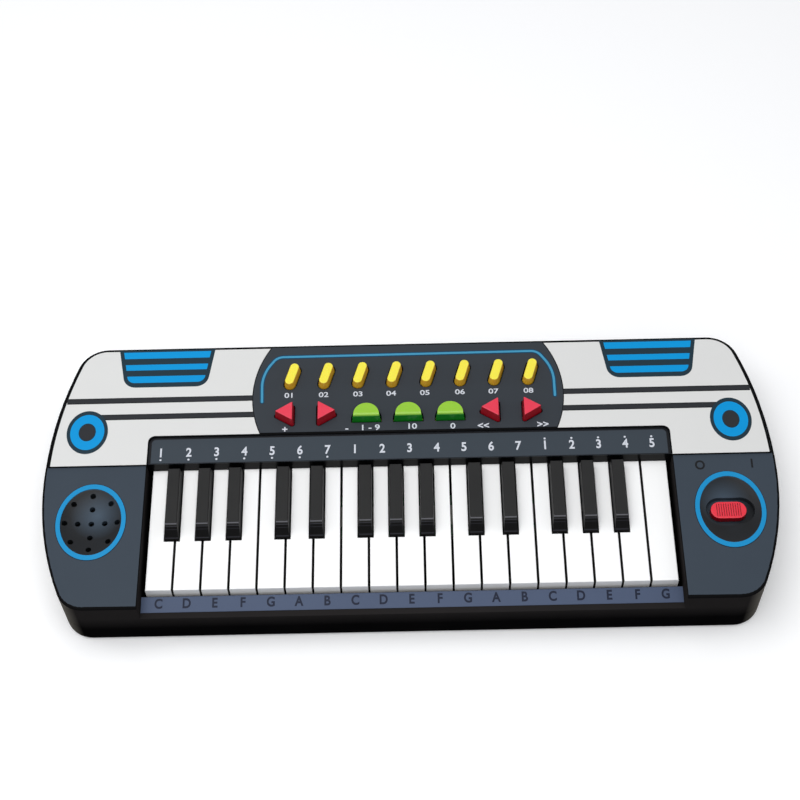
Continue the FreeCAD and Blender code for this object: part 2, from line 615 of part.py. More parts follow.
def make_button(name, plan, high, lean, x, y, turn=None):
    """A cap through the deck with a flange under it and a plunger; its frame starts on the deck."""
    body = new_body(name)
    pad(body, plan(Drawing(body, "XY_Plane", "flange", FLANGE_LOW), "sizes.flange"),
        "sizes.flange_thick")
    pad(body, plan(Drawing(body, "XY_Plane", "shaft", FLANGE_LOW), "0"), "-" + FLANGE_LOW)
    pad(body, plan(Drawing(body, "XY_Plane", "cap"), "0"), high, lean=lean)
    plunger = Drawing(body, "XY_Plane", "plunger", "%s - sizes.plunger_long" % FLANGE_LOW)
    pad(body, plunger.circle("0", "0", "sizes.plunger_round"), "sizes.plunger_long + " + JOIN)
    place(body, x, y, DECK_TOP, turn)
    return body


def make_yellow_button(number):
    body = make_button("yellow_button_%d" % (number + 1), yellow_plan, "sizes.yellow_high",
                       "sizes.cap_lean", YELLOWS[number], YELLOW_Y, "-sizes.yellow_tilt")
    soften(body, "sizes.cap_round", "sizes.yellow_high")
    return body


def make_red_button(number):
    x, way = REDS[number]
    body = make_button("red_button_%d" % (number + 1),
                       lambda drawing, margin: red_plan(drawing, way, margin),
                       "sizes.red_high", "sizes.red_lean", x, RED_Y)
    soften(body, "sizes.red_round", "sizes.red_high")
    return body


def make_green_button(number):
    body = make_button("green_button_%d" % (number + 1), green_plan, "sizes.green_high",
                       "sizes.cap_lean", GREENS[number], GREEN_Y)
    soften(body, "sizes.green_front_round", "sizes.green_high",
           lambda edge: edge.BoundBox.YLength < 0.01)
    return body


# ---- case ----

def make_top_housing():
    """The upper half of the case: wings, sloped front ledge, key well, number strip and deck."""
    body = new_body("top_housing")
    shell = Drawing(body, "XY_Plane", "shell", SPLIT).outline()
    pad(body, shell, "%s - %s" % (WING_TOP, SPLIT))
    soften(body, "sizes.edge_round", WING_TOP)
    soften(body, "sizes.seam_round", SPLIT)
    deck = Drawing(body, "XY_Plane", "deck", "%s - %s" % (WING_TOP, JOIN))
    pad(body, deck.outline("sizes.deck_inset"), "sizes.deck_step + " + JOIN)
    beyond_side = "(%s + %s)" % (HALF_WIDE, PAST)
    beyond_front = "(-%s - %s)" % (HALF_DEEP, PAST)
    wings = Drawing(body, "XY_Plane", "wing_level", DECK_TOP)
    wings.rectangle("-" + beyond_side, beyond_side, beyond_front,
                    "(%s - sizes.deck_ahead)" % STRIP_FRONT)
    cut(body, wings, "sizes.deck_step")
    strip = Drawing(body, "XY_Plane", "strip_level", DECK_TOP)
    side = "(%s - sizes.strip_inset - sizes.strip_corner)" % HALF_WELL
    near, far = "(%s - %s)" % (STRIP_FRONT, PAST), "(%s - sizes.strip_corner)" % DECK_FRONT
    strip.rounded((("-" + side, near), (side, near), (side, far), ("-" + side, far)),
                  "sizes.strip_corner")
    cut(body, strip, "sizes.deck_step")
    hollow = Drawing(body, "XY_Plane", "hollow", SPLIT).outline("sizes.wall")
    cut(body, hollow, "%s - %s" % (CEILING, SPLIT), up=True)
    well = Drawing(body, "XY_Plane", "key_well", DECK_TOP)
    well.rectangle("-" + HALF_WELL, HALF_WELL, WELL_FRONT, STRIP_FRONT)
    cut(body, well, "sizes.shell_high")
    ledge_deep = "(sizes.front_rim - sizes.well_gap)"
    past_well, above = "(%s + %s)" % (WELL_FRONT, PAST), "(%s + %s)" % (DECK_TOP, PAST)
    ledge_cut = Drawing(body, "YZ_Plane", "ledge_cut")
    ledge_cut.polygon(((beyond_front, ledge_level("-" + PAST)),
                       (past_well, ledge_level("%s + %s" % (ledge_deep, PAST))),
                       (past_well, above), (beyond_front, above)))
    cut(body, ledge_cut, "2 * %s" % HALF_WELL, both=True)
    well_side = worked(HALF_WELL)
    soften(body, "sizes.well_round", WING_TOP,
           lambda edge: edge.BoundBox.XLength < 0.01 and abs(abs(edge.BoundBox.XMin) - well_side) < 0.01)

    # the ledge plate with the wall behind it, and the two cheeks beside the keys
    skirt = "(%s + sizes.lip_high + sizes.inside_play)" % SPLIT
    back = "%s - sizes.wall" % WELL_FRONT
    start = "(-%s + %s)" % (HALF_DEEP, PAST)
    ledge = Drawing(body, "YZ_Plane", "ledge")
    ledge.polygon(((start, ledge_level(PAST)), (start, ledge_level(PAST) + " - sizes.wall"),
                   (back, ledge_level(ledge_deep) + " - sizes.wall"), (back, skirt),
                   (WELL_FRONT, skirt), (WELL_FRONT, ledge_level(ledge_deep))))
    pad(body, ledge, "2 * %s" % HALF_WELL, both=True)
    cheek = "(%s + sizes.wall)" % HALF_WELL
    for left, right in (("-" + cheek, "-" + HALF_WELL), (HALF_WELL, cheek)):
        wall = Drawing(body, "XY_Plane", "cheek", skirt)
        wall.rectangle(left, right, start, "%s + %s" % (STRIP_FRONT, PAST))
        pad(body, wall, "%s - %s + %s" % (CEILING, skirt, JOIN))

    # the brow under the front of the number strip, and a rib over the key tails
    brow_low = "(%s + sizes.brow_clear)" % KEY_TOP
    brow_high = "(%s - sizes.well_round)" % WING_TOP
    brow_back = "(%s + sizes.brow_thick)" % STRIP_FRONT
    brow = Drawing(body, "YZ_Plane", "brow")
    brow.polygon((("(%s - sizes.brow_lean)" % STRIP_FRONT, brow_low), (brow_back, brow_low),
                  (brow_back, brow_high), (STRIP_FRONT, brow_high)))
    pad(body, brow, "2 * %s" % HALF_WELL, both=True)
    rib_low = "(%s + sizes.inside_play)" % KEY_TOP
    rib = Drawing(body, "XY_Plane", "tail_rib", rib_low)
    rib.rectangle("-" + HALF_KEYS, HALF_KEYS, "%s - sizes.rib_wide / 2" % HINGE_LINE,
                  "%s + sizes.rib_wide / 2" % HINGE_LINE)
    pad(body, rib, "%s - %s + %s" % (CEILING, rib_low, JOIN))

    # seats behind the dishes, the collar round the speaker and the posts
    switch_low = "(%s - sizes.switch_high)" % SWITCH_SEAT
    add_round_posts(body, [("-" + DISH_X, DISH_Y)], "sizes.dish_seat", DISH_SEAT)
    add_round_posts(body, [(DISH_X, DISH_Y)], "sizes.dish_seat", SWITCH_SEAT)
    collar = Drawing(body, "XY_Plane", "collar", "%s - sizes.collar_high" % DISH_SEAT)
    inner = "(sizes.speaker_round + sizes.seat_play)"
    collar.circle("-" + DISH_X, DISH_Y, inner)
    collar.circle("-" + DISH_X, DISH_Y, "(%s + sizes.collar_thick)" % inner)
    pad(body, collar, "sizes.collar_high + " + JOIN)
    add_round_posts(body, post_places(), "sizes.post_round", POST_MEET)
    add_round_posts(body, board_posts(), "sizes.post_round", BOARD_TOP)
    add_round_posts(body, switch_posts(), "sizes.switch_post_round", switch_low)
    for posts, height, depth in (
            (post_places(), POST_MEET, "sizes.screw_long + sizes.pilot_spare"),
            (board_posts(), BOARD_TOP, "sizes.screw_long - sizes.board_thick + sizes.pilot_spare"),
            (switch_posts(), switch_low, "sizes.screw_long - sizes.board_thick + sizes.pilot_spare")):
        pilots = Drawing(body, "XY_Plane", "pilots", height)
        for x, y in posts:
            pilots.circle(x, y, "(sizes.screw_round + sizes.screw_play)")
        cut(body, pilots, depth, up=True)

    # the two concave dishes, the speaker holes and the recess for the power slider
    for x in ("-" + DISH_X, DISH_X):
        add_dish(body, x)
    grille = Drawing(body, "XY_Plane", "grille", WING_TOP)
    for x, y in grille_places():
        grille.circle(x, y, "sizes.grille_hole")
    cut(body, grille, "%s - %s + %s" % (WING_TOP, DISH_SEAT, PAST))
    recess = Drawing(body, "XY_Plane", "recess", WING_TOP)
    recess.stadium(DISH_X, DISH_Y, "sizes.recess_long", "sizes.recess_wide")
    cut(body, recess, "sizes.recess_sink")
    slot = Drawing(body, "XY_Plane", "neck_slot", RECESS_FLOOR)
    slot.rectangle("%s - sizes.neck_long / 2 - sizes.neck_play" % KNOB_X,
                   "%s + sizes.neck_long / 2 + sizes.knob_travel + sizes.neck_play" % KNOB_X,
                   "%s - sizes.neck / 2 - sizes.neck_play" % DISH_Y,
                   "%s + sizes.neck / 2 + sizes.neck_play" % DISH_Y)
    cut(body, slot, "sizes.post_skin + " + PAST)
    cut_button_holes(body, DECK_TOP, "%s - %s + %s" % (DECK_TOP, CEILING, PAST), "sizes.cap_play")
    return body


def add_round_posts(body, places, radius, low):
    """Round posts that hang from the ceiling of the case down to a height."""
    drawing = Drawing(body, "XY_Plane", "posts", low)
    for x, y in places:
        drawing.circle(x, y, radius)
    top = "%s - (%s)" % (CEILING, low)
    at_front = worked(places[0][1]) < worked(WELL_FRONT)
    pad(body, drawing, top + (" - sizes.plate" if at_front else " + " + JOIN))


def add_dish(body, x):
    """Cut a shallow oval dish: the low end of an ellipsoid whose middle is above the plate."""
    middle_share = 0.6
    shrink = math.sqrt(1 - middle_share ** 2)
    tall = "(sizes.dish_sink / %g)" % (1 - middle_share)
    doc.recompute()
    before = body.Shape.Volume
    dish = body.newObject("PartDesign::SubtractiveEllipsoid", "dish")
    dish.setExpression("Radius1", tall)
    dish.setExpression("Radius2", "sizes.dish_wide / %.6f" % shrink)
    dish.setExpression("Radius3", "sizes.dish_deep / %.6f" % shrink)
    dish.Angle1 = -90
    dish.Angle2 = 90
    dish.Angle3 = 360
    place(dish, x, DISH_Y, "%s + %g * %s" % (WING_TOP, middle_share, tall))
    doc.recompute()
    if not body.Shape.Volume < before - 0.01:
        raise RuntimeError("a dish takes nothing away")


def grille_places():
    """One hole in the middle, a ring of four and a ring of eight, all on ovals."""
    places = [("-" + DISH_X, DISH_Y)]
    for count, ring in ((4, "inner"), (8, "outer")):
        for step in range(count):
            turn = 2 * math.pi * step / count
            places.append(("(-%s + %.6f * sizes.grille_%s_wide)" % (DISH_X, math.cos(turn), ring),
                           "(%s + %.6f * sizes.grille_%s_deep)" % (DISH_Y, math.sin(turn), ring)))
    return places


def cut_button_holes(body, top, depth, margin):
    """Holes through the deck for every panel button."""
    holes = Drawing(body, "XY_Plane", "button_holes", top)
    for x in GREENS:
        green_plan(holes, margin, x, GREEN_Y)
    for x, way in REDS:
        red_plan(holes, way, margin, x, RED_Y)
    cut(body, holes, depth)
    for x in YELLOWS:
        tilted = Drawing(body, "XY_Plane", "yellow_hole", top)
        sketch = tilted.sketch
        yellow_plan(tilted, margin)
        sketch.setExpression("AttachmentOffset.Base.x", x)
        sketch.setExpression("AttachmentOffset.Base.y", YELLOW_Y)
        sketch.AttachmentOffset.Rotation = FreeCAD.Rotation(Vector(0, 0, 1),
                                                            -worked("sizes.yellow_tilt"))
        sketch.setExpression("AttachmentOffset.Rotation.Angle", "-sizes.yellow_tilt")
        cut(body, tilted, depth)


def make_bottom_housing():
    """The tray: floor and wall, hinge bead for the keys, battery bay and screw posts."""
    body = new_body("bottom_housing")
    pad(body, Drawing(body, "XY_Plane", "tray", "sizes.foot_rise").outline(), "sizes.tray_high")
    soften(body, "sizes.edge_round", "sizes.foot_rise")
    soften(body, "sizes.seam_round", SPLIT)
    cut(body, Drawing(body, "XY_Plane", "hollow", FLOOR).outline("sizes.wall"),
        "%s - %s" % (SPLIT, FLOOR), up=True)
    lip_outer = "(sizes.wall + sizes.lip_play)"
    lip = Drawing(body, "XY_Plane", "lip", "%s - sizes.lip_root" % SPLIT)
    lip.outline("sizes.wall - " + JOIN)
    lip.outline("%s + sizes.lip_thick" % lip_outer)
    pad(body, lip, "sizes.lip_root - sizes.lip_play")
    tongue = Drawing(body, "XY_Plane", "tongue", "%s - %s" % (SPLIT, JOIN))
    tongue.outline(lip_outer)
    tongue.outline("%s + sizes.lip_thick" % lip_outer)
    pad(body, tongue, "sizes.lip_high + " + JOIN)
    sunk = "(%s - %s)" % (FLOOR, JOIN)

    bead_wall = Drawing(body, "YZ_Plane", "bead_wall")
    bead_wall.rectangle("%s - sizes.bead_wall / 2" % HINGE_LINE, "%s + sizes.bead_wall / 2" % HINGE_LINE,
                        sunk, HINGE_HIGH)
    pad(body, bead_wall, "2 * %s" % HALF_KEYS, both=True)
    bead = Drawing(body, "YZ_Plane", "bead").circle(HINGE_LINE, HINGE_HIGH, "sizes.bead_round")
    pad(body, bead, "2 * %s" % HALF_KEYS, both=True)

    # rails under the key board
    rail_y = "(%s + sizes.pusher_back)" % KEY_FRONT
    for way in ("-", "+"):
        rail = Drawing(body, "XY_Plane", "board_rail", sunk)
        middle = "%s %s (sizes.key_board_deep / 2 - sizes.rail_inset)" % (rail_y, way)
        rail.rectangle("-" + HALF_KEYS, HALF_KEYS, "%s - sizes.rail_wide / 2" % middle,
                       "%s + sizes.rail_wide / 2" % middle)
        pad(body, rail, "sizes.key_board_rise + " + JOIN)

    # the battery bay
    block = Drawing(body, "XY_Plane", "bay_block", sunk)
    far = "(%s + sizes.bay_margin)" % BAY_HALF_LONG
    deep = "(%s + sizes.bay_margin)" % BAY_HALF_DEEP
    block.rectangle("-" + far, "(%s + sizes.door_tab + sizes.tab_margin)" % far, "%s - %s" % (BAY_Y, deep),
                    "%s + %s" % (BAY_Y, deep))
    pad(body, block, "sizes.bay_high + sizes.bay_roof + " + JOIN)
    bay = Drawing(body, "XY_Plane", "bay", "sizes.foot_rise")
    bay.rectangle("-" + BAY_HALF_LONG, BAY_HALF_LONG, "%s - %s" % (BAY_Y, BAY_HALF_DEEP),
                  "%s + %s" % (BAY_Y, BAY_HALF_DEEP))
    cut(body, bay, "%s - sizes.foot_rise" % BAY_TOP, up=True)
    seat = Drawing(body, "XY_Plane", "door_seat", "sizes.foot_rise")
    lap = "sizes.door_lap"
    seat.rectangle("-(%s + %s)" % (BAY_HALF_LONG, lap), "(%s + sizes.door_tab)" % far,
                   "%s - %s - %s" % (BAY_Y, BAY_HALF_DEEP, lap),
                   "%s + %s + %s" % (BAY_Y, BAY_HALF_DEEP, lap))
    cut(body, seat, "sizes.door_thick + sizes.door_sink", up=True)
    tab = Drawing(body, "XY_Plane", "tab_pocket", "sizes.foot_rise")
    tab.circle(TAB_X, BAY_Y, "(sizes.tab_boss + sizes.door_play)")
    cut(body, tab, "sizes.door_thick + sizes.tab_high + sizes.tab_play", up=True)
    tab_pilot = Drawing(body, "XY_Plane", "tab_pilot", DOOR_TOP)
    tab_pilot.circle(TAB_X, BAY_Y, "(sizes.screw_round + sizes.screw_play)")
    cut(body, tab_pilot, "sizes.screw_long + sizes.tab_margin", up=True)

    # posts with sunk screw heads, and seats for the feet
    posts = Drawing(body, "XY_Plane", "posts", sunk)
    heads = Drawing(body, "XY_Plane", "heads", "sizes.foot_rise")
    shanks = Drawing(body, "XY_Plane", "shanks", "sizes.foot_rise")
    for x, y in post_places():
        posts.circle(x, y, "sizes.tray_post_round")
    pad(body, posts, "%s - %s" % (POST_MEET, sunk))
    for x, y in post_places():
        heads.circle(x, y, "(sizes.head_round + sizes.head_play)")
        shanks.circle(x, y, "(sizes.screw_round + sizes.head_play)")
    cut(body, heads, "sizes.post_meet - sizes.post_skin", up=True)
    cut(body, shanks, "sizes.post_meet + " + PAST, up=True)
    feet = Drawing(body, "XY_Plane", "foot_seats", "sizes.foot_rise")
    for x, y in foot_places():
        feet.circle(x, y, "(sizes.foot_round + sizes.foot_play)")
    cut(body, feet, "sizes.foot_high - sizes.foot_rise", up=True)
    return body


def make_battery_door():
    body = new_body("battery_door")
    plate = Drawing(body, "XY_Plane", "plate", "sizes.foot_rise")
    left = "-(%s + sizes.door_lap - sizes.door_play)" % BAY_HALF_LONG
    right = "(%s + sizes.bay_margin + sizes.door_tab - sizes.door_play)" % BAY_HALF_LONG
    deep = "(%s + sizes.door_lap - sizes.door_play)" % BAY_HALF_DEEP
    plate.rectangle(left, right, "%s - %s" % (BAY_Y, deep), "%s + %s" % (BAY_Y, deep))
    pad(body, plate, "sizes.door_thick")
    boss = Drawing(body, "XY_Plane", "boss", "sizes.foot_rise").circle(TAB_X, BAY_Y, "sizes.tab_boss")
    pad(body, boss, "sizes.door_thick + sizes.tab_high")
    head = Drawing(body, "XY_Plane", "head", "sizes.foot_rise")
    cut(body, head.circle(TAB_X, BAY_Y, "(sizes.head_round + sizes.head_play)"), "sizes.tab_high", up=True)
    hole = Drawing(body, "XY_Plane", "hole", "sizes.foot_rise")
    cut(body, hole.circle(TAB_X, BAY_Y, "(sizes.screw_round + sizes.head_play)"),
        "sizes.door_thick + sizes.tab_high + " + PAST, up=True)
    return body


# ---- inside ----

def make_boards_and_mats():
    board_z = "(%s - sizes.board_thick)" % BOARD_TOP
    main_board = new_body("main_board")
    plan = Drawing(main_board, "XY_Plane", "plan", board_z)
    plan.rectangle("-sizes.board_wide / 2", "sizes.board_wide / 2",
                   "%s - sizes.board_deep / 2" % BAY_Y, "%s + sizes.board_deep / 2" % BAY_Y)
    pad(main_board, plan, "sizes.board_thick")
    chip = Drawing(main_board, "XY_Plane", "chip", "%s - sizes.chip_high" % board_z)
    chip.rectangle("sizes.chip_x - sizes.chip_wide / 2", "sizes.chip_x + sizes.chip_wide / 2",
                   "%s - sizes.chip_wide / 2" % BAY_Y, "%s + sizes.chip_wide / 2" % BAY_Y)
    pad(main_board, chip, "sizes.chip_high + " + JOIN)
    holes = Drawing(main_board, "XY_Plane", "holes", BOARD_TOP)
    for x, y in board_posts():
        holes.circle(x, y, "(sizes.screw_round + sizes.head_play)")
    cut(main_board, holes, "sizes.board_thick + " + PAST)

    rail_y = "(%s + sizes.pusher_back)" % KEY_FRONT
    key_board_z = "(%s + sizes.key_board_rise)" % FLOOR
    key_board = box("key_board", "2 * %s" % HALF_KEYS, "sizes.key_board_deep", "sizes.board_thick",
                    "0", rail_y, key_board_z)

    key_mat = new_body("key_mat")
    mat_z = "(%s + sizes.board_thick)" % key_board_z
    sheet_plan = Drawing(key_mat, "XY_Plane", "sheet_plan", mat_z)
    sheet_plan.rectangle("-" + HALF_KEYS, HALF_KEYS, "%s - sizes.key_mat_deep / 2" % rail_y,
                         "%s + sizes.key_mat_deep / 2" % rail_y)
    pad(key_mat, sheet_plan, "sizes.mat_sheet")
    dome_top = "(%s - sizes.pusher_drop - sizes.key_press - sizes.press_gap)" % KEY_TOP
    domes = Drawing(key_mat, "XY_Plane", "domes", "%s + sizes.mat_sheet" % mat_z)
    for number in range(WHITE_COUNT):
        left, right = tail_sides(number)
        domes.circle("%s + (%s + %s) / 2" % (white_x(number), left, right), rail_y, "sizes.dome_round")
    for boundary in SHIFT_AT:
        domes.circle(black_x(boundary), rail_y, "sizes.dome_round")
    pad(key_mat, domes, "%s - (%s + sizes.mat_sheet)" % (dome_top, mat_z), lean="sizes.cap_lean")

    button_mat = new_body("button_mat")
    sheet_plan = Drawing(button_mat, "XY_Plane", "sheet_plan", BOARD_TOP)
    sheet_plan.rectangle("-sizes.mat_wide / 2", "sizes.mat_wide / 2",
                         "%s - sizes.mat_margin" % GREEN_Y, "%s + sizes.mat_margin" % YELLOW_Y)
    pad(button_mat, sheet_plan, "sizes.mat_sheet")
    press_top = "(%s + %s - sizes.plunger_long - sizes.button_travel - sizes.press_gap)" % (
        DECK_TOP, FLANGE_LOW)
    domes = Drawing(button_mat, "XY_Plane", "domes", "%s + sizes.mat_sheet" % BOARD_TOP)
    for x in YELLOWS:
        domes.circle(x, YELLOW_Y, "sizes.dome_round")
    for x in GREENS:
        domes.circle(x, GREEN_Y, "sizes.dome_round")
    for red in REDS:
        domes.circle(red[0], RED_Y, "sizes.dome_round")
    pad(button_mat, domes, "%s - (%s + sizes.mat_sheet)" % (press_top, BOARD_TOP),
        lean="sizes.cap_lean")
    return [main_board, key_board, group("contact_mats", [key_mat, button_mat])]


def make_speaker():
    """A small cone speaker, face up against the back of the dish."""
    body = new_body("speaker")
    profile = Drawing(body, "XZ_Plane", "profile")
    rim, cone, magnet = "sizes.speaker_rim", "sizes.speaker_cone", "sizes.magnet_round"
    edge, deep = "sizes.speaker_round", "(sizes.speaker_rim + sizes.speaker_cone)"
    bottom = "-%s - sizes.magnet_high" % deep
    profile.polygon((("0", bottom), (magnet, bottom), (magnet, "-" + deep),
                     (edge + " - sizes.speaker_frame", "-" + rim), (edge, "-" + rim), (edge, "0"),
                     (edge + " - sizes.cone_edge", "0"), ("sizes.cone_floor", "-" + cone),
                     ("0", "-" + cone)))
    turned = body.newObject("PartDesign::Revolution", "turned")
    turned.Profile = profile.sketch
    turned.ReferenceAxis = (profile.sketch, ["V_Axis"])
    turned.Angle = 360
    place(body, "-" + DISH_X, DISH_Y, DISH_SEAT)
    return body


def make_power_slider():
    """The ribbed knob in the recess, with the neck that works the switch below."""
    body = new_body("power_slider")
    low = "(%s + sizes.neck_play)" % RECESS_FLOOR
    top = "(%s - sizes.knob_sink)" % WING_TOP
    knob = Drawing(body, "XY_Plane", "knob", low)
    knob.stadium("0", "0", "sizes.knob_long", "sizes.knob_wide")
    pad(body, knob, "%s - %s" % (top, low), lean="sizes.cap_lean / 2")
    soften(body, "sizes.cap_round", top)
    neck_low = "(%s - sizes.neck_reach)" % SWITCH_SEAT
    neck = Drawing(body, "XY_Plane", "neck", neck_low)
    neck.rectangle("-sizes.neck_long / 2", "sizes.neck_long / 2", "-sizes.neck / 2", "sizes.neck / 2")
    pad(body, neck, "%s - %s + %s" % (low, neck_low, JOIN))
    grooves = Drawing(body, "XY_Plane", "grooves", top)
    for groove in range(RIB_GROOVES):
        x = "%g * sizes.rib_pitch" % (groove - (RIB_GROOVES - 1) / 2)
        grooves.rectangle("%s - sizes.rib_cut / 2" % x, "%s + sizes.rib_cut / 2" % x,
                          "-sizes.rib_long / 2", "sizes.rib_long / 2")
    cut(body, grooves, "sizes.rib_cut")
    place(body, KNOB_X, DISH_Y, "0")
    return body


def make_slide_switch():
    """The switch on its small board, hung from two posts under the right-hand dish."""
    board_top = "(%s - sizes.switch_high)" % SWITCH_SEAT
    board = new_body("switch_board")
    half_long, half_deep = "sizes.switch_board_long / 2", "sizes.switch_board_deep / 2"
    plan = Drawing(board, "XY_Plane", "plan", "(%s - sizes.board_thick)" % board_top)
    plan.rectangle("%s - %s" % (DISH_X, half_long), "%s + %s" % (DISH_X, half_long),
                   "%s - %s" % (DISH_Y, half_deep), "%s + %s" % (DISH_Y, half_deep))
    for x, y in switch_posts():
        plan.circle(x, y, "(sizes.screw_round + sizes.head_play)")
    pad(board, plan, "sizes.board_thick")
    can = new_body("switch_can")
    middle = "(%s + sizes.knob_travel / 2)" % KNOB_X
    outer = Drawing(can, "XY_Plane", "outer", board_top)
    outer.rectangle("%s - sizes.switch_long / 2" % middle, "%s + sizes.switch_long / 2" % middle,
                    "%s - sizes.switch_deep / 2" % DISH_Y, "%s + sizes.switch_deep / 2" % DISH_Y)
    can_high = "(sizes.switch_high - sizes.neck_play)"
    pad(can, outer, can_high)
    slot = Drawing(can, "XY_Plane", "slot", "%s + %s" % (board_top, can_high))
    reach = "(sizes.neck_long / 2 + sizes.knob_travel / 2 + sizes.neck_play)"
    half = "(sizes.neck / 2 + sizes.neck_play)"
    slot.rectangle("%s - %s" % (middle, reach), "%s + %s" % (middle, reach),
                   "%s - %s" % (DISH_Y, half), "%s + %s" % (DISH_Y, half))
    cut(can, slot, "sizes.neck_reach")
    return group("slide_switch", [board, can])


def make_battery_contacts():
    """A plate at one end of each cell and a coil spring, drawn as a cone, at the other."""
    items = []
    mid_z = "(%s + sizes.cell_round + sizes.cell_rise)" % FLOOR
    for order in (-1, 0, 1):
        y = "(%s + %d * (2 * sizes.cell_round + sizes.cell_gap))" % (BAY_Y, order)
        way = "-" if order == 0 else ""
        flip = "" if order == 0 else "-"
        for side, name in ((way, "plate"), (flip, "spring_plate")):
            x = "%s(%s - sizes.contact_thick / 2)" % (side, BAY_HALF_LONG)
            items.append(box("cell_%s_%d" % (name, order + 2), "sizes.contact_thick",
                             "sizes.contact_wide", "sizes.contact_high", x, y,
                             "%s - sizes.contact_high / 2" % mid_z))
        coil = doc.addObject("Part::Cone", "cell_spring_%d" % (order + 2))
        coil.Placement.Rotation = FreeCAD.Rotation(Vector(0, 1, 0), 90 if flip == "-" else -90)
        coil.setExpression("Radius1", "sizes.spring_base")
        coil.setExpression("Radius2", "sizes.spring_tip")
        coil.setExpression("Height", "sizes.spring_long")
        place(coil, "%s(%s - sizes.contact_thick)" % (flip, BAY_HALF_LONG), y, mid_z)
        items.append(coil)
    return group("battery_contacts", items)


def make_screws():
    """Identical screws, heads down: the case, the door, the main board and the switch board."""
    heads = [(x, y, "(sizes.foot_rise + sizes.post_meet - sizes.post_skin)") for x, y in post_places()]
    heads.append((TAB_X, BAY_Y, "(sizes.foot_rise + sizes.tab_high)"))
    heads += [(x, y, "(%s - sizes.board_thick)" % BOARD_TOP) for x, y in board_posts()]
    heads += [(x, y, "(%s - sizes.switch_high - sizes.board_thick)" % SWITCH_SEAT)
              for x, y in switch_posts()]
    items = []
    for number, (x, y, z) in enumerate(heads, 1):
        head = cylinder("screw_head_%d" % number, "sizes.head_round", "sizes.head_high",
                        x, y, "%s - sizes.head_high" % z)
        shank = cylinder("screw_shank_%d" % number, "sizes.screw_round",
                         "sizes.screw_long + " + JOIN, x, y, "%s - %s" % (z, JOIN))
        items.append(fuse("screw_%d" % number, [head, shank]))
    return group("screws", items)


def make_rubber_feet():
    feet = [cylinder("foot_%d" % n, "sizes.foot_round", "sizes.foot_high", x, y, "0")
            for n, (x, y) in enumerate(foot_places(), 1)]
    return group("rubber_feet", feet)


def make_graphic_film():
    """The printed sheets: the button panel with its holes, and the letter strip on the ledge."""
    panel = new_body("panel_film")
    plan = Drawing(panel, "XY_Plane", "plan", DECK_TOP)
    plan.bulged("sizes.panel_front_wide", "sizes.panel_back_wide", "sizes.panel_bow",
                "%s + sizes.film_front" % DECK_FRONT,
                "%s - sizes.deck_inset - sizes.film_back" % HALF_DEEP)
    pad(panel, plan, "sizes.film")
    cut_button_holes(panel, "%s + sizes.film" % DECK_TOP, "sizes.film + " + PAST,
                     "(sizes.cap_play + sizes.film_play)")
    letters = new_body("letter_film")
    strip = Drawing(letters, "YZ_Plane", "strip")
    near, far = "sizes.letter_inset", "(sizes.front_rim - sizes.well_gap - sizes.film_play)"
    front, back = "(%s - %s)" % (near, HALF_DEEP), "(%s - %s)" % (far, HALF_DEEP)
    strip.polygon(((front, ledge_level(near)), (back, ledge_level(far)),
                   (back, ledge_level(far) + " + sizes.film"),
                   (front, ledge_level(near) + " + sizes.film")))
    pad(letters, strip, "2 * (%s - sizes.film_play)" % HALF_WELL, both=True)
    return group("graphic_film", [panel, letters])


nodes = [make_top_housing(), make_bottom_housing(), make_battery_door(), make_speaker(),
         make_power_slider(), make_slide_switch(), make_battery_contacts(), make_screws(),
         make_rubber_feet(), make_graphic_film()]
nodes += make_boards_and_mats()
nodes += [make_white_key(number) for number in range(WHITE_COUNT)]
nodes += [make_black_key(order, boundary) for order, boundary in enumerate(SHIFT_AT)]
nodes += [make_yellow_button(number) for number in range(YELLOW_COUNT)]
nodes += [make_red_button(number) for number in range(len(REDS))]
nodes += [make_green_button(number) for number in range(GREEN_COUNT)]

doc.recompute()
for item in doc.Objects:
    if "Invalid" in item.State or "Error" in item.State:
        raise RuntimeError("%s failed: %s" % (item.Label, item.State))
os.makedirs("parts", exist_ok=True)
for node in nodes:
    if node.Shape.isNull() or not node.Shape.isValid():
        raise RuntimeError("%s has no sound shape" % node.Label)
for node in nodes:
    node.Shape.exportStep("parts/%s.step" % node.Label)
    bounds = node.Shape.BoundBox
    print(node.Label, len(node.Shape.Solids), [round(v, 2) for v in (
        bounds.XMin, bounds.XMax, bounds.YMin, bounds.YMax, bounds.ZMin, bounds.ZMax)])
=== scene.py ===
# %% [markdown]
# # Finishing a toy keyboard
# The moulded pieces of this toy arrive as a fixed frame: every key, button and shell is already at
# its real size, in metres, and moves with a body of its own. What is left is what a factory does
# after moulding: colour and gloss, printed sheets, stuck-on stripes, numbers and letters.
# We load the frame first and keep its box, because nothing that we add may reach outside it.

# %% Load the frame
import math
import bmesh
import bpy
from mathutils import Matrix, Vector


